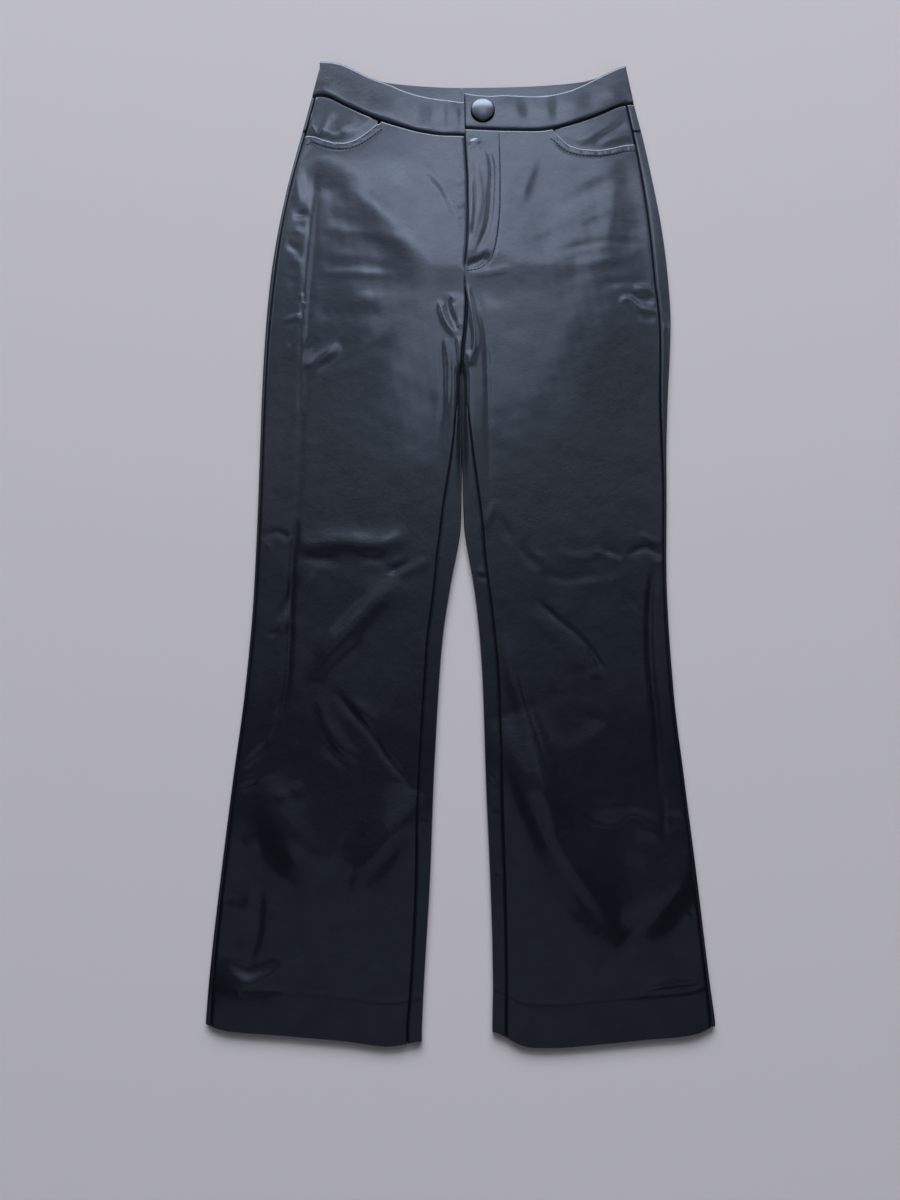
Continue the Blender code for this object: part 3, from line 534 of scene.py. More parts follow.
# %% [markdown]
# ## From a grid of points to a piece of cloth
# Every piece is a grid: rows across it, columns along it. Blender's Solidify
# modifier gives the sheet its wall, inwards from the drawn face, and is applied,
# so that the piece ends as one closed skin. Rows and columns lie close together
# at seams, where the cloth turns quickly, and wider apart elsewhere.

# %% Tools for sheets
WALL = 0.9


def spread(*stops):
    """Numbers from stop to stop: (start, (end, steps), (end, steps), ...)."""
    numbers = [float(stops[0])]
    for end, steps in stops[1:]:
        numbers += list(np.linspace(numbers[-1], end, steps + 1)[1:])
    return np.array(numbers)


def add_object(name, data):
    """A new object in the scene that holds a mesh, a light or a camera."""
    item = bpy.data.objects.new(name, data)
    bpy.context.scene.collection.objects.link(item)
    return item


def sheet(name, grid, wall, material):
    """A closed piece of cloth through a grid of points in millimetres, and its
    area. Missing points are not-a-number. The middle row's first cell faces up."""
    there = ~np.isnan(grid).any(axis=-1)
    number = np.cumsum(there).reshape(there.shape) - 1
    whole = there[:-1, :-1] & there[1:, :-1] & there[1:, 1:] & there[:-1, 1:]
    faces = np.stack([number[:-1, :-1], number[1:, :-1], number[1:, 1:], number[:-1, 1:]],
                     axis=-1)[whole]
    row = grid.shape[0] // 2
    down, right = grid[row + 1, 0] - grid[row, 0], grid[row, 1] - grid[row, 0]
    if np.cross(down, right)[2] < 0:
        faces = faces[:, ::-1]
    points = grid[there]
    corner = points[faces]
    crossed = np.cross(corner[:, 2] - corner[:, 0], corner[:, 3] - corner[:, 1])
    area = np.linalg.norm(crossed, axis=1).sum() / 2 * MM * MM
    mesh = bpy.data.meshes.new(name)
    mesh.from_pydata((points * MM).tolist(), [], faces.tolist())
    mesh.materials.append(material)
    item = add_object(name, mesh)
    solidify = item.modifiers.new("wall", "SOLIDIFY")
    solidify.thickness = wall * MM
    solidify.offset = -1.0
    bpy.ops.object.select_all(action="DESELECT")
    bpy.context.view_layer.objects.active = item
    item.select_set(True)
    bpy.ops.object.modifier_apply(modifier=solidify.name)
    bpy.ops.object.shade_smooth_by_angle(angle=math.radians(50))
    return item, area


def make_both(piece, node, shape, wall, material):
    """The right and the left piece of a kind, each in the place of its solid."""
    for side, word in WORD.items():
        item, area = sheet(piece + word, shape(side), wall, material)
        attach(item, "root")
        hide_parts(node + word)
        box = np.array(item.bound_box) / MM
        print(item.name, "faces", len(item.data.polygons), "area", round(area, 4),
              "from", box.min(0).round(1), "to", box.max(0).round(1))


# %% [markdown]
# ## Building a finish
# A surface that changes from place to place needs sums of noises. Wire holds one
# socket and turns each ordinary sum into a Math node. Finish is one material,
# and its one method adds any other node with its settings and its links.

# %% Wire and Finish
class Wire:
    """A socket that can stand in a sum. Each sum adds one Math node."""

    def __init__(self, tree, socket):
        self.tree, self.socket = tree, socket

    def math(self, operation, first, second):
        node = self.tree.nodes.new("ShaderNodeMath")
        node.operation = operation
        for slot, value in zip(node.inputs, (first, second)):
            join(self.tree, slot, value)
        return Wire(self.tree, node.outputs[0])

    def __add__(self, other):
        return self.math("ADD", self, other)

    def __sub__(self, other):
        return self.math("SUBTRACT", self, other)

    def __rsub__(self, other):
        return self.math("SUBTRACT", other, self)

    def __mul__(self, other):
        return self.math("MULTIPLY", self, other)

    __radd__, __rmul__ = __add__, __mul__


def join(tree, slot, value):
    if isinstance(value, Wire):
        tree.links.new(value.socket, slot)
    else:
        slot.default_value = value


class Finish:
    """A material that is built node by node."""

    def __init__(self, name):
        self.material = bpy.data.materials.new(name)
        self.material.use_nodes = True
        self.tree = self.material.node_tree
        self.shader = self.tree.nodes["Principled BSDF"]

    def node(self, kind, output=0, settings=(), **inputs):
        made = self.tree.nodes.new("ShaderNode" + kind)
        for name, value in dict(settings).items():
            setattr(made, name, value)
        for name, value in inputs.items():
            join(self.tree, made.inputs[name.replace("_", " ")], value)
        return Wire(self.tree, made.outputs[output])

    def noise(self, scale, detail=2.0, roughness=0.5):
        """Noise that lies in the cloth, with this many spots to a metre."""
        place = self.node("TexCoord", "Object")
        return self.node("TexNoise", "Fac", Vector=place, Scale=scale, Detail=detail,
                         Roughness=roughness)

    def set(self, **inputs):
        for name, value in inputs.items():
            join(self.tree, self.shader.inputs[name.replace("_", " ")], value)


# %% [markdown]
# ## Leather
# Coated leather has a soft, satin body under a thin clear skin. One gloss alone
# would look like rubber or like plastic, so the Principled shader gets both: a
# rough base and a smoother coat. A ripple and a fine grain go into the bump, and
# the gloss drifts a little from place to place, as it does with handling.

# %% Leather
DEEP_BLACK = (0.0010, 0.0012, 0.0020)
DARK_SLOT, LIGHT_SLOT, MIX_OUTPUT = 6, 7, 2        # of a Mix node that mixes colours


def leather(name, light, roughness):
    finish = Finish(name)
    drift = finish.noise(9.0)                  # spots of about 11 cm
    cloud = finish.noise(55.0, 3.0)            # 18 mm
    ripple = finish.noise(38.0, 4.0, 0.6)      # 26 mm
    grain = finish.noise(620.0, 3.0, 0.6)      # 1.6 mm
    colour = finish.node("Mix", MIX_OUTPUT, {"data_type": "RGBA"}, Factor=drift)
    for slot, value in ((DARK_SLOT, DEEP_BLACK), (LIGHT_SLOT, light)):
        colour.socket.node.inputs[slot].default_value = (*value, 1.0)
    rippled = finish.node("Bump", Strength=1.0, Distance=0.0009, Height=ripple)
    bump = finish.node("Bump", Strength=0.6, Distance=0.0002, Height=grain, Normal=rippled)
    finish.set(Base_Color=colour, Normal=bump, IOR=1.38,
               Roughness=roughness + (cloud - 0.5) * 0.10 + (drift - 0.5) * 0.06,
               Coat_Weight=0.85 + (cloud - 0.5) * 0.4 + (grain - 0.5) * 0.6,
               Coat_Roughness=0.14, Coat_IOR=1.5)
    return finish.material


hide = leather("black coated leather", (0.0016, 0.0018, 0.0030), 0.49)
band_hide = leather("black waistband leather", (0.0016, 0.0018, 0.0028), 0.47)
print("leathers:", hide.name, "and", band_hide.name)

# %% [markdown]
# ## Thread and button metal
# Thread is plain and dull. The button is a dark metal with a fine uneven
# tarnish. One noise drives both its roughness and its bump, so they agree.

# %% Thread and pewter
thread_finish = Finish("black thread")
thread_finish.set(Base_Color=(0.006, 0.007, 0.009, 1.0), Roughness=0.75)
thread = thread_finish.material

metal_finish = Finish("dark pewter")
tarnish = metal_finish.noise(420.0, 3.0)
metal_finish.set(Base_Color=(0.085, 0.082, 0.08, 1.0), Metallic=1.0,
                 Roughness=0.31 + (tarnish - 0.5) * 0.14,
                 Normal=metal_finish.node("Bump", Strength=0.2, Distance=0.00004, Height=tarnish))
metal = metal_finish.material
print("fittings:", thread.name, "and", metal.name)

# %% [markdown]
# ## Where the rows and columns of a panel lie
# A row has one level over most of the leg. Near the top it turns to meet the
# pocket and the waist, near the foot to meet the hem. A point's x depends on
# its y and the other way round, so both settle over a few passes.

# %% Rows
WAIST_LEVEL, TOP_BLEND = 413.0, 322.0
HEM_LEVEL, HEM_BLEND = -490.0, -440.0
PANEL_ROWS = spread(WAIST_LEVEL, (410, 5), (400, 11), (CROTCH + 2, 92), (CROTCH - 2, 2),
                    (HEM_TURN + 8, 234), (HEM_TURN - 8, 12), (-484, 10), (HEM_LEVEL, 8))


def row_level(side, nominal, x, top_level):
    upper = mix(TOP_BLEND, top_level(x), (nominal - TOP_BLEND) / (WAIST_LEVEL - TOP_BLEND))
    lower = mix(HEM_BLEND, hem[side](x), (nominal - HEM_BLEND) / (HEM_LEVEL - HEM_BLEND))
    return np.where(nominal > TOP_BLEND, upper, np.where(nominal < HEM_BLEND, lower, nominal))


def settled(nominal, x_of, y_of):
    """X and Y of a grid whose x follows from y and y from x."""
    x = x_of(nominal)
    for _ in range(6):
        y = y_of(x)
        x = x_of(y)
    return x, y


print("rows of a panel:", len(PANEL_ROWS))

# %% [markdown]
# Columns start at the centre front or the inner leg seam, close together, and
# go on in even shares to the side seam. One of them runs into the corner where
# the pocket mouth meets the waist, so that the mouth's edge is a clean line.

# %% Columns
INNER_STEPS = spread(0, (4.2, 8), (12, 8), (28, 9), (LAP + LAP_EASE, 15))
TO_POCKET, AT_POCKET = 22, 48  # columns up to the pocket's corner, and from there
CROWDING = 1.12                # above 1 the columns crowd towards the side seam
CURL, CURL_DEPTH = 2.6, 2.6    # width and depth of the curl at the centre front seam
CURL_HEAD, CURL_FULL = 262.0, 207.0      # levels between which the curl gets its depth
POCKET_CORNER = {RIGHT: -84.0, LEFT: 100.0}


def inner_arc(side, y):
    strip = abs(inner_seam[side](y) - inner_fold[side](y))
    return arc_to_seam(strip, TOP)


def inner_column(side, y, distance):
    """X and the drop of the skin, at this distance along it from a front's
    inner edge: the inner leg seam, or the curl of the centre front seam."""
    outward = -side
    depth = CURL_DEPTH * ease(CURL_HEAD, CURL_FULL, y)
    turn = np.minimum(distance / (CURL * math.pi / 2), 1) * math.pi / 2
    past = np.maximum(distance - CURL * math.pi / 2, 0)
    centre = centre_front(y) + side * SEAM / 2
    curl_x = centre - outward * (CURL * (1 - np.cos(turn)) + past)
    leg_x, leg_z = rolled(inner_fold[side](y), outward, inner_arc(side, y) + distance, TOP)
    over = y >= CROTCH
    return np.where(over, curl_x, leg_x), np.where(over, depth * (1 - np.sin(turn)), TOP - leg_z)


def outer_shares(side):
    """Shares of the way from the last inner column to the side seam. One of
    them meets the pocket's corner on the waist seam."""
    level = np.array(WAIST_LEVEL)
    start = inner_column(side, level, INNER_STEPS[-1])[0]
    end = settled(level, outer_seam[side], waist_seam[side])[0]
    corner = (POCKET_CORNER[side] - start) / (end - start)
    to_seam = 1 - (1 - spread(0, (1, AT_POCKET))) ** CROWDING
    return np.concatenate([spread(0, (corner, TO_POCKET))[1:], mix(corner, 1, to_seam)[1:]])


SHARES = {side: outer_shares(side) for side in WORD}
OUTER = TO_POCKET + AT_POCKET          # columns before the inner ones
COLUMNS = OUTER + len(INNER_STEPS)


def panel_x(side, y):
    """X of every column from the side seam to the centre."""
    last = inner_column(side, y[:, :OUTER], INNER_STEPS[-1])[0]
    far = mix(last, outer_seam[side](y[:, :OUTER]), SHARES[side][::-1])
    near = inner_column(side, y[:, OUTER:], INNER_STEPS[::-1])[0]
    return np.concatenate([far, near], axis=1)


print("columns of a panel:", COLUMNS)

# %% [markdown]
# ## Lines of sewing
# The pocket mouths carry two rows of stitches and the fly one, shaped like a J.
# A row pulls the cloth down a little, so each one is also a fine trough, and
# beside a pocket mouth the cloth puckers between stitches and edge.

# %% Lines of sewing
MOUTH_END = 406.0              # level at which a pocket mouth meets the side seam
PUCKER_STEPS = [5.2, 3.8, 6.1, 4.4, 7.0, 4.0, 5.6, 3.6, 6.6, 4.8]
PUCKER_RISES = (0.16, -0.12, 0.10)


def along_mouth(side, inset):
    """Points of a row that runs beside a pocket mouth."""
    x = np.linspace(POCKET_CORNER[side] + side, outer_seam[side](MOUTH_END) - side, 15)
    y = top_edge[side](x)
    slope = np.gradient(y, x)
    scale = inset / np.hypot(1, slope)
    return [(float(a), float(b)) for a, b in zip(x + slope * scale, y - scale)]


SEWING = {
    "fly_stitches": (LEFT, [(42, 416), (43, 384), (43, 344), (42, 320), (39, 296), (35, 279),
                            (28, 269), (19, 263), (7, 261)]),
}
for side, word in WORD.items():
    SEWING["pocket_stitches_" + word] = (side, along_mouth(side, 7.0))
CREASES += [Crease(path, -0.24, 2.2, -0.7 * side if "pocket" in name else 0.7)
            for name, (side, path) in SEWING.items()]
for side in WORD:
    stitches, edge = (drawn_curve(along_mouth(side, inset)) for inset in (6.0, 1.5))
    run = np.concatenate([[0], np.cumsum(np.hypot(*np.diff(stitches, axis=0).T))])
    for k, at in enumerate(np.cumsum(PUCKER_STEPS * 3)):
        if at < run[-1] - 3:
            ends = [tuple(float(np.interp(at, run, line[:, n])) for n in (0, 1))
                    for line in (stitches, edge)]
            CREASES.append(Crease(ends, PUCKER_RISES[k % 3], 1.3))
print("rows of sewing:", list(SEWING), "creases with them", len(CREASES))

# %% [markdown]
# ## Front panels
# The two fronts run from the waist and the pocket mouths to the hems. They could
# be draped by a cloth simulation, but then no fold would lie where it should, so
# each is a grid with its relief. The left front laps over the right one at the
# fly: it stands up by one wall there, and the right one sinks. Both dip at sewn
# edges, and rise over the upper edge of the turned-up hem.

# %% Front panels
FLY_SINK = 0.4                 # how far the right front sinks to pass under the left
FLY_LIP = {RIGHT: (0.8, 1.6), LEFT: (0.7, 0.8)}
WAIST_LIP, MOUTH_LIP = (0.2, 0.7), (0.2, 0.5)
HEM_DEPTH = 39.0               # depth of the turned-up hem
HEM_RISE, HEM_SPREAD = 0.34, 2.4


def front_top(side, x):
    """Top edge of a front: the waist seam, then the pocket mouth."""
    at_pocket = (x - POCKET_CORNER[side]) * side > 0
    return np.where(at_pocket, top_edge[side](x), waist_seam[side](x) - SEAM / 2)


def front_height(side, x, y):
    """Height of a front away from its edges: the left one stands up over the
    underlap, the right one sinks to pass under it."""
    beyond = x - centre_front(y)
    above_foot = ease(FLY_FOOT - 8, FLY_FOOT + 18, y)
    if side == LEFT:
        return skin(side, x, y) + ease(LAP + 5 * LAP_EASE, LAP + 1, beyond) * above_foot
    return skin(side, x, y) - FLY_SINK * ease(LAP_EASE, 1, -beyond) * above_foot


def hem_step(side, x, y):
    """Rise of the cloth over the upper edge of the turned-up hem."""
    return HEM_RISE * np.exp(-((y - hem[side](x) - HEM_DEPTH) / HEM_SPREAD) ** 2)


def front(side):
    level = np.repeat(PANEL_ROWS[:, None], COLUMNS, axis=1)
    x, y = settled(level, lambda y: panel_x(side, y),
                   lambda x: row_level(side, level, x, lambda x: front_top(side, x)))
    z = front_height(side, x, y) + hem_step(side, x, y)
    z[:, OUTER:] -= inner_column(side, y[:, OUTER:], INNER_STEPS[::-1])[1]
    z -= lip(abs(x - centre_front(y)), *FLY_LIP[side]) * ease(FLY_FOOT - 8, FLY_FOOT + 4, y)
    z -= side_lip(side, x, y) + inner_lip(side, x, y)
    at_waist = (x - POCKET_CORNER[side]) * side < 0
    z -= np.where(at_waist, lip(front_top(side, x) - y, *WAIST_LIP),
                  lip(top_edge[side](x) - y, *MOUTH_LIP))
    return np.stack([x, y, z], axis=-1)


make_both("front_panel_", "front_", front, WALL, hide)

# %% [markdown]
# ## Back panels
# A back panel starts at the side seam on top, turns round the folded edge, lies
# on the table, and comes up again round the inner edge of the leg. Above the
# crotch it ends at the centre back seam instead. Its creases on the table are
# milder than the front's, because it carries the weight of the cloth above.

# %% Creases of the back
FLOOR_CREASES = make_creases(
    ([(-160, 300), (-90, 270), (-30, 200)], 0.7, 9),
    ([(150, 310), (80, 262), (30, 205)], 0.6, 10),
    ([(-150, 190), (-80, 168), (-14, 150)], 0.8, 7, 0.3),
    ([(168, 196), (90, 172), (20, 148)], 0.8, 8, -0.3),
    ([(-170, 30), (-110, 18), (-50, 26)], 0.6, 8),
    ([(60, 12), (120, 2), (180, 16)], 0.7, 7),
    ([(-180, -60), (-120, -88), (-40, -70)], 0.9, 8),
    ([(40, -80), (110, -104), (190, -78)], 0.8, 9),
    ([(-170, -180), (-120, -240), (-112, -330)], 0.6, 12),
    ([(70, -170), (100, -250), (150, -330)], 0.7, 11),
    ([(-200, -390), (-150, -402), (-100, -388)], 0.6, 8),
    ([(90, -392), (150, -408), (205, -396)], 0.6, 9),
)
print("creases of the back:", len(FLOOR_CREASES))

# %% [markdown]
# Cloth that turns round an edge is drawn by its length along the skin, so that
# its columns stay evenly apart on the round and on the flat alike.

# %% Turning round an edge
QUARTER = math.pi / 4          # a quarter turn's length, for each unit of thickness
TURN = spread(1, (-1, 14))     # shares of a quarter, from the top round to the surface
ON_STRIP = 9                   # columns from the seam to the turn
ROUND = ON_STRIP + len(TURN)
ON_FLOOR = 26
STRIP = spread(0, (1, ON_STRIP))
ONTO_TOP = (TOP - 1.2, TOP - 0.05)     # heights at which a turn becomes the skin


def outer_turn(side, y, top):
    """X and Z of the columns from a seam on top round the outer edge. y has
    one column for all of them, or one for each."""
    y = np.broadcast_to(y, (len(y), ROUND))
    start = arc_to_seam(abs(outer_seam[side](y) - outer_fold[side](y)) - SEAM, top)
    arc = np.concatenate([mix(start[:, :ON_STRIP], QUARTER * top, STRIP[:-1]),
                          QUARTER * top * TURN + 0 * y[:, ON_STRIP:]], axis=1)
    return rolled(outer_fold[side](y), side, arc, top)


def inner_turn(side, y):
    """X and Z of the columns from the surface up round the inner edge."""
    end = inner_arc(side, y) - SEAM
    arc = np.concatenate([QUARTER * TOP * TURN[::-1] + 0 * y[:, ON_STRIP:],
                          mix(QUARTER * TOP, end[:, len(TURN):], STRIP[1:])], axis=1)
    return rolled(inner_fold[side](y), -side, np.minimum(arc, np.maximum(end, 0.2)), TOP)


def blended(z, upper):
    """Heights of a piece that turn into the skin's where it is on top."""
    return np.where(z > TOP / 2, mix(z, upper, ease(*ONTO_TOP, z)), z)


print("columns round an edge:", ROUND)

# %% Back panels
CENTRE_BACK = 2.5
BACK_SEAM = {side: CENTRE_BACK + side * SEAM / 2 for side in WORD}


def back_columns(side, y):
    """X and Z of all columns of a back. Every column has its own y."""
    in_leg = PANEL_ROWS[:, None] <= CROTCH
    x1, z1 = outer_turn(side, y[:, :ROUND], TOP)
    x3, z3 = inner_turn(side, y[:, -ROUND:])
    end = np.where(in_leg, x3[:, :1], BACK_SEAM[side])
    x2 = mix(x1[:, -1:], end, spread(0, (1, ON_FLOOR))[1:-1])
    x3 = np.where(in_leg, x3, np.nan)
    x3[:, :1] = end
    return np.concatenate([x1, x2, x3], axis=1), np.concatenate([z1, 0 * x2, z3], axis=1)


def back(side):
    level = np.repeat(PANEL_ROWS[:, None], 2 * ROUND + ON_FLOOR - 1, axis=1)
    x, y = settled(level, lambda y: back_columns(side, y)[0],
                   lambda x: row_level(side, level, np.nan_to_num(x), yoke_seam[side]))
    z = back_columns(side, y)[1]
    flat_x = np.nan_to_num(x)
    to_inner = np.where(y < CROTCH, abs(flat_x - inner_fold[side](y)), 99)
    calm = ease(3, 16, np.minimum(abs(flat_x - outer_fold[side](y)), to_inner))
    z += relief(FLOOR_CREASES, flat_x, y) * calm * (z < 0.2)
    upper = skin(side, flat_x, y) + hem_step(side, flat_x, y)
    upper -= side_lip(side, flat_x, y) + inner_lip(side, flat_x, y)
    return np.stack([x, y, blended(z, upper)], axis=-1)


make_both("back_panel_", "back_", back, WALL, hide)

# %% [markdown]
# ## Back yokes
# The yoke is the shallow piece between a back panel and the waistband. It shapes
# the seat in place of darts. Only its end shows from above, where it comes round
# the side, and it turns there with the back panel's own columns.

# %% Back yokes
YOKE_SIDE, WAIST_SIDE = 418.0, 450.0   # levels of the yoke's seams at the folded edge
YOKE_WAIST_LIP, YOKE_SEAM_LIP = (0.2, 0.8), (0.7, 1.0)
YOKE_ROWS = spread(0, (1, 26))[:, None]


def yoke(side):
    waist = float(waist_seam[side](outer_fold[side](WAIST_SIDE)))
    turn_y = mix(waist - SEAM / 2, YOKE_SIDE + SEAM / 2, YOKE_ROWS)
    x1, z1 = outer_turn(side, turn_y, TOP)
    y1 = np.repeat(turn_y, ROUND, axis=1)
    x2 = mix(x1[:, -1:], BACK_SEAM[side], spread(0, (1, ON_FLOOR))[1:])
    y2 = mix(back_waist[side](x2) - SEAM / 2, yoke_seam[side](x2) + SEAM, YOKE_ROWS)
    x, y = np.concatenate([x1, x2], axis=1), np.concatenate([y1, y2], axis=1)
    z = np.concatenate([z1, 0 * x2], axis=1)
    upper = TOP - side_lip(side, x, y)
    upper -= lip(waist - y, *YOKE_WAIST_LIP) + lip(y - YOKE_SIDE, *YOKE_SEAM_LIP)
    return np.stack([x, y, blended(z, upper)], axis=-1)


make_both("back_yoke_piece_", "back_yoke_", yoke, WALL, hide)

# %% [markdown]
# ## Pocket bearers
# A bearer is the cloth that shows inside a curved pocket mouth. It could stop at
# the mouth's line, but a low light would then see past the edge. So it goes on
# under the front, lies lower there, and climbs to the waist seam.

# %% Pocket bearers
BEARER_UNDERLAP = 12.0
BEARER_SINK, BEARER_RISE = 1.35, 0.75  # under the front's edge, and how it comes up again
BEARER_LIP, BEARER_LEVEL = (0.2, 0.9), 430.0
LEAST_MOUTH = 0.6              # a mouth is at least this deep, also at its corner
BEARER_ROWS = spread(0, (1, 8), (2, 26))[:, None]      # up to 1 under the front
BEARER_CREASES = make_creases(
    ([(-161, 445), (-156, 424), (-150, 414), (-143, 426), (-139, 442)], 0.3, 3),
    ([(-127, 417), (-119, 426), (-108, 436)], 0.35, 7),
    ([(-136, 440), (-132, 414)], -0.25, 5),
    ([(124, 406), (150, 421), (177, 440)], 0.4, 5),
    ([(142, 405), (163, 419), (178, 428)], -0.3, 4),
)


def bearer(side):
    share = SHARES[side][TO_POCKET - 1:][::-1]

    def x_of(y):
        last = inner_column(side, y, INNER_STEPS[-1])[0]
        return mix(last, outer_seam[side](y), share)

    def mouth_of(x):
        return np.minimum(top_edge[side](x), waist_seam[side](x) - SEAM / 2 - LEAST_MOUTH)

    def y_of(x):
        waist, mouth = waist_seam[side](x) - SEAM / 2, mouth_of(x)
        low = mix(mouth - BEARER_UNDERLAP, mouth, BEARER_ROWS)
        return np.where(BEARER_ROWS <= 1, low, mix(mouth, waist, BEARER_ROWS - 1))

    x, y = settled(np.full((len(BEARER_ROWS), len(share)), BEARER_LEVEL), x_of, y_of)
    inside = y - mouth_of(x)
    z = TOP - BEARER_SINK + BEARER_RISE * ease(0, 14, inside)
    z += relief(BEARER_CREASES, x, y) * ease(0.5, 4, inside)
    z -= lip(waist_seam[side](x) - y, *BEARER_LIP) + side_lip(side, x, y)
    return np.stack([x, y, z], axis=-1)[::-1]


make_both("pocket_bearer_piece_", "pocket_bearer_", bearer, WALL, hide)

# %% [markdown]
# ## Waistband
# Each half of the band runs from the centre front round the side to the centre
# back. The right half goes on under the left one, where the button closes it.
# The band is cloth and facing together, so it has a thicker wall, stands higher
# than the panels and throws the dark line under it. Its front part takes over
# the fronts' columns, and so their points meet across the seam.

# %% Waistband
BAND_TOP_LEVEL, BAND_WALL, BAND_HEIGHT = 5.8, 1.7, 42.0
BAND_SINK, BAND_PUFF = 1.0, 0.5
BAND_FOOT_LIP, BAND_TOP_LIP, BAND_END_LIP = (1.7, 2.0), (1.0, 0.7), (0.8, 0.9)
BAND_SIDE = 475.0              # level at which the band turns round the side
BAND_ROWS = spread(0, (0.1, 6), (0.9, 22), (1, 6))[:, None]
BAND_CREASES = make_creases(
    ([(-140, 482), (-144, 455)], 0.36, 8.1),
    ([(-118, 478), (-122, 447)], -0.24, 10.8),
    ([(-94, 468), (-100, 438)], -0.18, 9.5),
    ([(-66, 463), (-72, 428)], 0.3, 12.2),
    ([(-42, 454), (-44, 419)], -0.18, 5.4),
    ([(-28, 454), (-29, 419)], 0.21, 4.7),
    ([(-17, 452), (-16, 417)], -0.24, 3.8),
    ([(-3, 449), (-2, 416)], 0.24, 4.1),
    ([(59, 456), (62, 424)], 0.18, 5.4),
    ([(72, 456), (76, 426)], -0.3, 6.8),
    ([(93, 459), (91, 424)], 0.36, 6.8),
    ([(106, 461), (104, 426)], -0.21, 5.4),
    ([(125, 466), (118, 433)], 0.24, 10.8),
    ([(143, 473), (136, 442)], -0.15, 8.1),
    ([(165, 480), (164, 452)], 0.3, 10.8),
)


def waistband(side):
    def in_front(x):
        return mix(waist_seam[side](x) + SEAM / 2, band_top[side](x), BAND_ROWS)

    level = np.full((len(BAND_ROWS), COLUMNS), WAIST_LEVEL)
    x1, y1 = (a[:, ::-1] for a in settled(level, lambda y: panel_x(side, y), in_front))
    beyond = x1 - centre_front(y1)
    if side == LEFT:
        over = ease(LAP + 4 * LAP_EASE, LAP + 1, beyond)
        base = BAND_TOP_LEVEL + (BAND_WALL + SEAM - BAND_SINK) * over
        base -= lip(beyond, *BAND_END_LIP)
    else:
        base = BAND_TOP_LEVEL - BAND_SINK * ease(-1.5 * LAP_EASE, -1, beyond)
    z1 = base + relief(BAND_CREASES, x1, y1)
    if side == RIGHT:
        steps = INNER_STEPS[(INNER_STEPS >= 5) & (INNER_STEPS <= LAP)]
        x0, y0 = settled(level[:, :len(steps)], lambda y: inner_column(LEFT, y, steps)[0],
                         in_front)
        z0 = np.full(x0.shape, BAND_TOP_LEVEL - BAND_SINK)
        x1, y1, z1 = (np.concatenate([a[:, ::-1], b], axis=1)
                      for a, b in ((x0, x1), (y0, y1), (z0, z1)))
    turn_y = in_front(outer_fold[side](in_front(outer_fold[side](BAND_SIDE + 0 * BAND_ROWS))))
    x2, z2 = (a[:, ON_STRIP:] for a in outer_turn(side, turn_y, BAND_TOP_LEVEL))
    x3 = mix(x2[:, -1:], BACK_SEAM[side], spread(0, (1, ON_FLOOR))[1:])
    y3 = mix(back_waist[side](x3) + SEAM / 2, back_band_top(x3), BAND_ROWS)
    x, y, z = (np.concatenate(parts, axis=1)
               for parts in ((x1, x2, x3), (y1, in_front(x2), y3), (z1, z2, 0 * x3)))
    height = BAND_ROWS * BAND_HEIGHT
    edges = lip(height, *BAND_FOOT_LIP) + lip(BAND_HEIGHT - height, *BAND_TOP_LIP)
    edges = edges - BAND_PUFF * np.sin(BAND_ROWS * math.pi)
    return np.stack([x, y, z - edges * ease(BAND_TOP_LEVEL / 2, BAND_TOP_LEVEL - 1, z)], axis=-1)


make_both("waistband_piece_", "waistband_", waistband, BAND_WALL, band_hide)

# %% [markdown]
# ## Stitches
# One stitch is a small capsule of thread. An array on a curve could repeat it,
# but here each copy finds its own height on the creased cloth. A row of them is
# one mesh.

# %% Stitches
PITCH, STITCH, THREAD = 3.6, 2.9, 0.5  # from stitch to stitch, its length, its half width
RAISED = 0.35                  # how far its middle lies above the cloth, in half widths

bpy.ops.object.select_all(action="DESELECT")
bpy.ops.mesh.primitive_uv_sphere_add(segments=8, ring_count=5, radius=1.0)
seed = bpy.context.object
CAPSULE = np.array([v.co for v in seed.data.vertices])[:, [2, 0, 1]] * (STITCH / 2, THREAD, THREAD)
CAPSULE_FACES = [list(p.vertices) for p in seed.data.polygons]
bpy.data.objects.remove(seed)


def row_of_stitches(name, side, path):
    """Stitches along a curve, a little sunk into the cloth."""
    curve = drawn_curve(path, per_span=16)
    at = np.concatenate([[0], np.cumsum(np.hypot(*np.diff(curve, axis=0).T))])
    points, faces = [], []
    for middle in np.arange(PITCH / 2, at[-1], PITCH):
        behind, (x, y), ahead = ([np.interp(middle + step, at, curve[:, k]) for k in (0, 1)]
                                 for step in (-0.5, 0, 0.5))
        tx, ty = np.subtract(ahead, behind) / max(math.dist(ahead, behind), 1e-6)
        z = front_height(side, np.array([x]), np.array([y]))[0] + THREAD * RAISED
        faces += [[i + len(CAPSULE) * len(points) for i in face] for face in CAPSULE_FACES]
        points.append(np.stack([x + CAPSULE[:, 0] * tx - CAPSULE[:, 1] * ty,
                                y + CAPSULE[:, 0] * ty + CAPSULE[:, 1] * tx,
                                z + CAPSULE[:, 2]], axis=-1))
    mesh = bpy.data.meshes.new(name)
    mesh.from_pydata((np.vstack(points) * MM).tolist(), [], faces)
    mesh.shade_smooth()
    mesh.materials.append(thread)
    item = add_object(name, mesh)
    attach(item, "root")
    print(name, "stitches", len(points), "faces", len(faces))


for name, (side, path) in SEWING.items():
    row_of_stitches(name, side, path)

# %% [markdown]
# ## Button
# A domed metal button with a rolled rim. It is turned as on a lathe: one point
# is pushed along half of the button's outline, and that line is spun round once.
# A flattened sphere would have no rim. The post through the band is hidden.

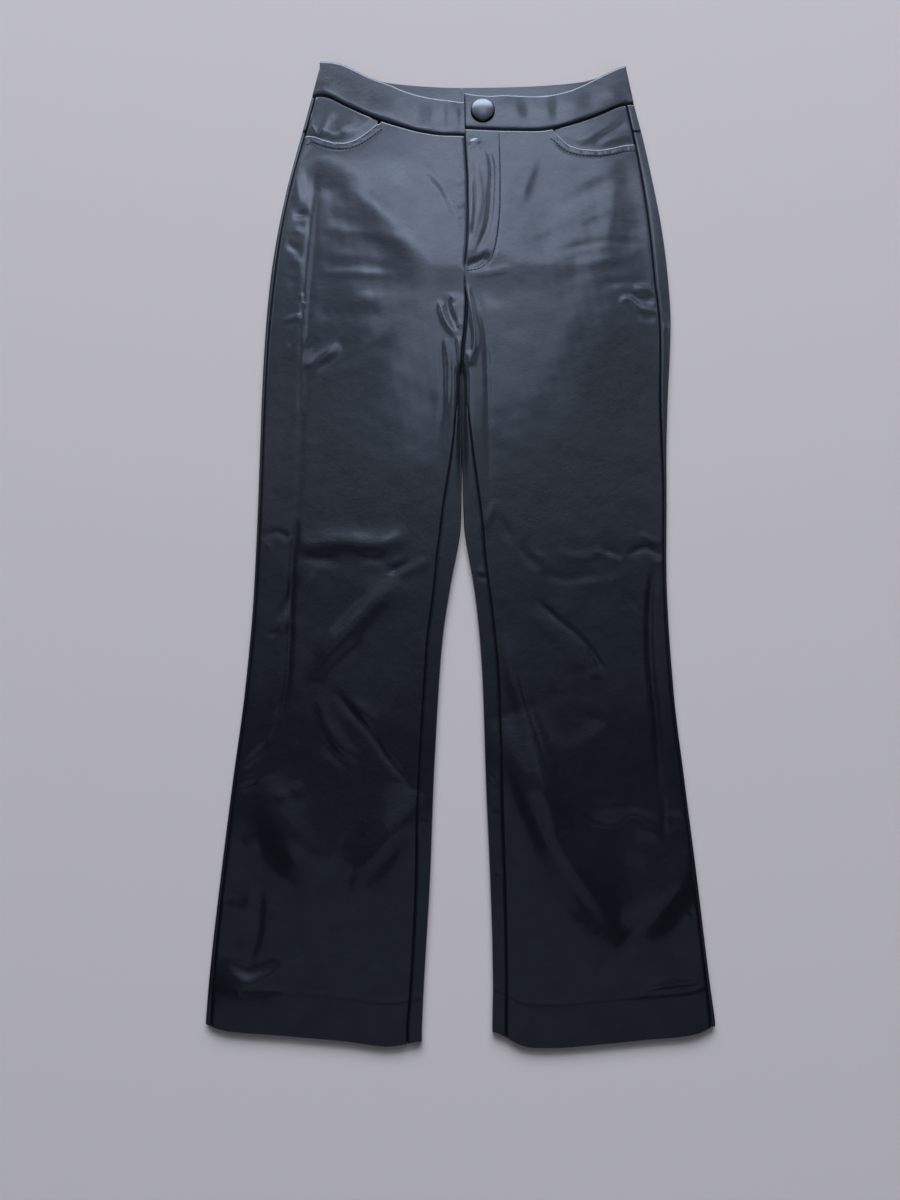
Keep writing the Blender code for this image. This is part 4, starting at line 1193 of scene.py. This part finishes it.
# %% Button
BUTTON_AT = (25.0, 441.0, 7.2)
PROFILE = [(0, 0.9), (11.9, 0.9), (12.6, 1.1), (12.9, 1.5), (12.8, 1.9), (12.4, 2.25),
           (11.5, 2.75), (0, 3.3)]     # radius and height, from the underside to the crown
bpy.ops.object.select_all(action="DESELECT")
bpy.ops.mesh.primitive_plane_add(size=MM)
button = bpy.context.object
button.name = button.data.name = "button_knob"
bpy.ops.object.mode_set(mode="EDIT")
bpy.ops.mesh.select_all(action="SELECT")
bpy.ops.mesh.merge(type="CENTER")
corners = [Vector((radius, 0, height)) * MM for radius, height in PROFILE]
bpy.ops.transform.translate(value=corners[0])
for corner, following in zip(corners, corners[1:]):
    bpy.ops.mesh.extrude_region_move(TRANSFORM_OT_translate={"value": following - corner})
bpy.ops.mesh.select_all(action="SELECT")
bpy.ops.mesh.spin(steps=72, angle=2 * math.pi, center=(0, 0, 0), axis=(0, 0, 1))
bpy.ops.mesh.select_all(action="SELECT")
bpy.ops.mesh.remove_doubles(threshold=0.01 * MM)
bpy.ops.mesh.normals_make_consistent(inside=False)
bpy.ops.transform.translate(value=Vector(BUTTON_AT) * MM)
bpy.ops.object.mode_set(mode="OBJECT")
bpy.ops.object.shade_smooth_by_angle(angle=math.radians(35))
button.data.materials.append(metal)
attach(button, "root")
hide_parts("button")
print("button faces", len(button.data.polygons))

# %% [markdown]
# ## Floor
# A pale, plain floor that is much wider than the view, a hair below the cloth.

# %% Floor
bpy.ops.mesh.primitive_plane_add(size=8, location=(0, 0, -0.0005))
floor = bpy.context.object
floor.name = "floor"
paint = Finish("pale floor")
paint.set(Base_Color=(0.80, 0.65, 0.535, 1.0), Roughness=0.9, Specular_IOR_Level=0.1)
floor.data.materials.append(paint.material)
print("floor:", floor.dimensions.x, "m wide")

# %% [markdown]
# ## Light
# Black satin leather shows its creases only by what it reflects, so the light
# is made of separate bright things with darkness between them. A wide window
# beyond the waist and a wall beyond the feet light the rough body of the
# leather. Panes overhead are mirrored in its coat: a slope of one in ten moves
# a mirrored pane by about half a metre, so each fold shows another part of the
# ceiling. Round panes fade softly at their ends, and the rectangular ones give
# the straight edges on the hips.

# %% Window, wall and panes
DAYLIGHT = (0.61, 0.74, 1.0)


def area_light(name, place, target, size, power, shape="RECTANGLE"):
    light = bpy.data.lights.new(name, "AREA")
    light.shape, light.size, light.size_y = shape, *size
    light.energy, light.color = power, DAYLIGHT
    item = add_object(name, light)
    item.location = place
    item.rotation_euler = (Vector(target) - Vector(place)).to_track_quat("-Z", "Y").to_euler()
    return item


area_light("window", (-0.5, 12, 6.2), (0, 0, 0), (12, 6), 3000)
area_light("far wall", (0.5, -12, 6.2), (0, 0, 0), (12, 6), 250)

Pane = namedtuple("Pane", "name x y width depth power shape turn z",
                  defaults=("ELLIPSE", 0.0, 2.3))
PANES = [
    Pane("skylight", 0.1, 1.82, 0.88, 1.92, 7.4),
    Pane("bright pane", 0.22, 1.84, 0.84, 0.84, 4.2, z=2.25),
    Pane("slanting pane", -0.26, 1.71, 0.2, 0.8, 2.6, "RECTANGLE", 50.0, 2.25),
    Pane("right side pane", -1.05, 1.65, 0.5, 1.1, 3.0, "RECTANGLE"),
    Pane("left side pane", 1.05, 1.65, 0.5, 1.1, 3.0, "RECTANGLE"),
    Pane("thigh pane", -0.12, 1.0, 0.2, 0.5, 0.22, z=2.25),
    Pane("lintel", 0.0, 0.72, 2.3, 0.64, 1.3),
    Pane("foot pane", -0.8, -1.72, 0.9, 0.8, 0.4),
    Pane("middle", 0.1, 0.12, 1.9, 0.6, 0.42),
    Pane("ceiling", 0.0, -1.0, 2.0, 1.08, 1.35),
]
for pane in PANES:
    light = area_light(pane.name, (pane.x, pane.y, pane.z), (pane.x, pane.y, 0),
                       (pane.width, pane.depth), pane.power, pane.shape)
    light.rotation_euler.rotate_axis("Z", math.radians(pane.turn))
print("lights:", 2 + len(PANES))

# %% [markdown]
# ## Room and camera
# The room itself is nearly dark. The camera hangs above the shins and looks
# down, tilted a little towards the waist.

# %% Room and camera
world = bpy.data.worlds.new("room")
bpy.context.scene.world = world
world.use_nodes = True
room = world.node_tree.nodes["Background"]
room.inputs["Color"].default_value = (*DAYLIGHT, 1)
room.inputs["Strength"].default_value = 0.02
bpy.context.scene.view_settings.view_transform = "Standard"

eye = add_object("camera", bpy.data.cameras.new("camera"))
bpy.context.scene.camera = eye
eye.location = (-0.0098, -0.2076, 0.8833)
eye.rotation_euler = (math.radians(8), 0, 0)
eye.data.sensor_width, eye.data.lens = 36.0, 27.03
print("camera", round(eye.location.z, 3), "m up, lens", round(eye.data.lens, 2), "mm")

# %% Update the scene
bpy.context.view_layer.update()
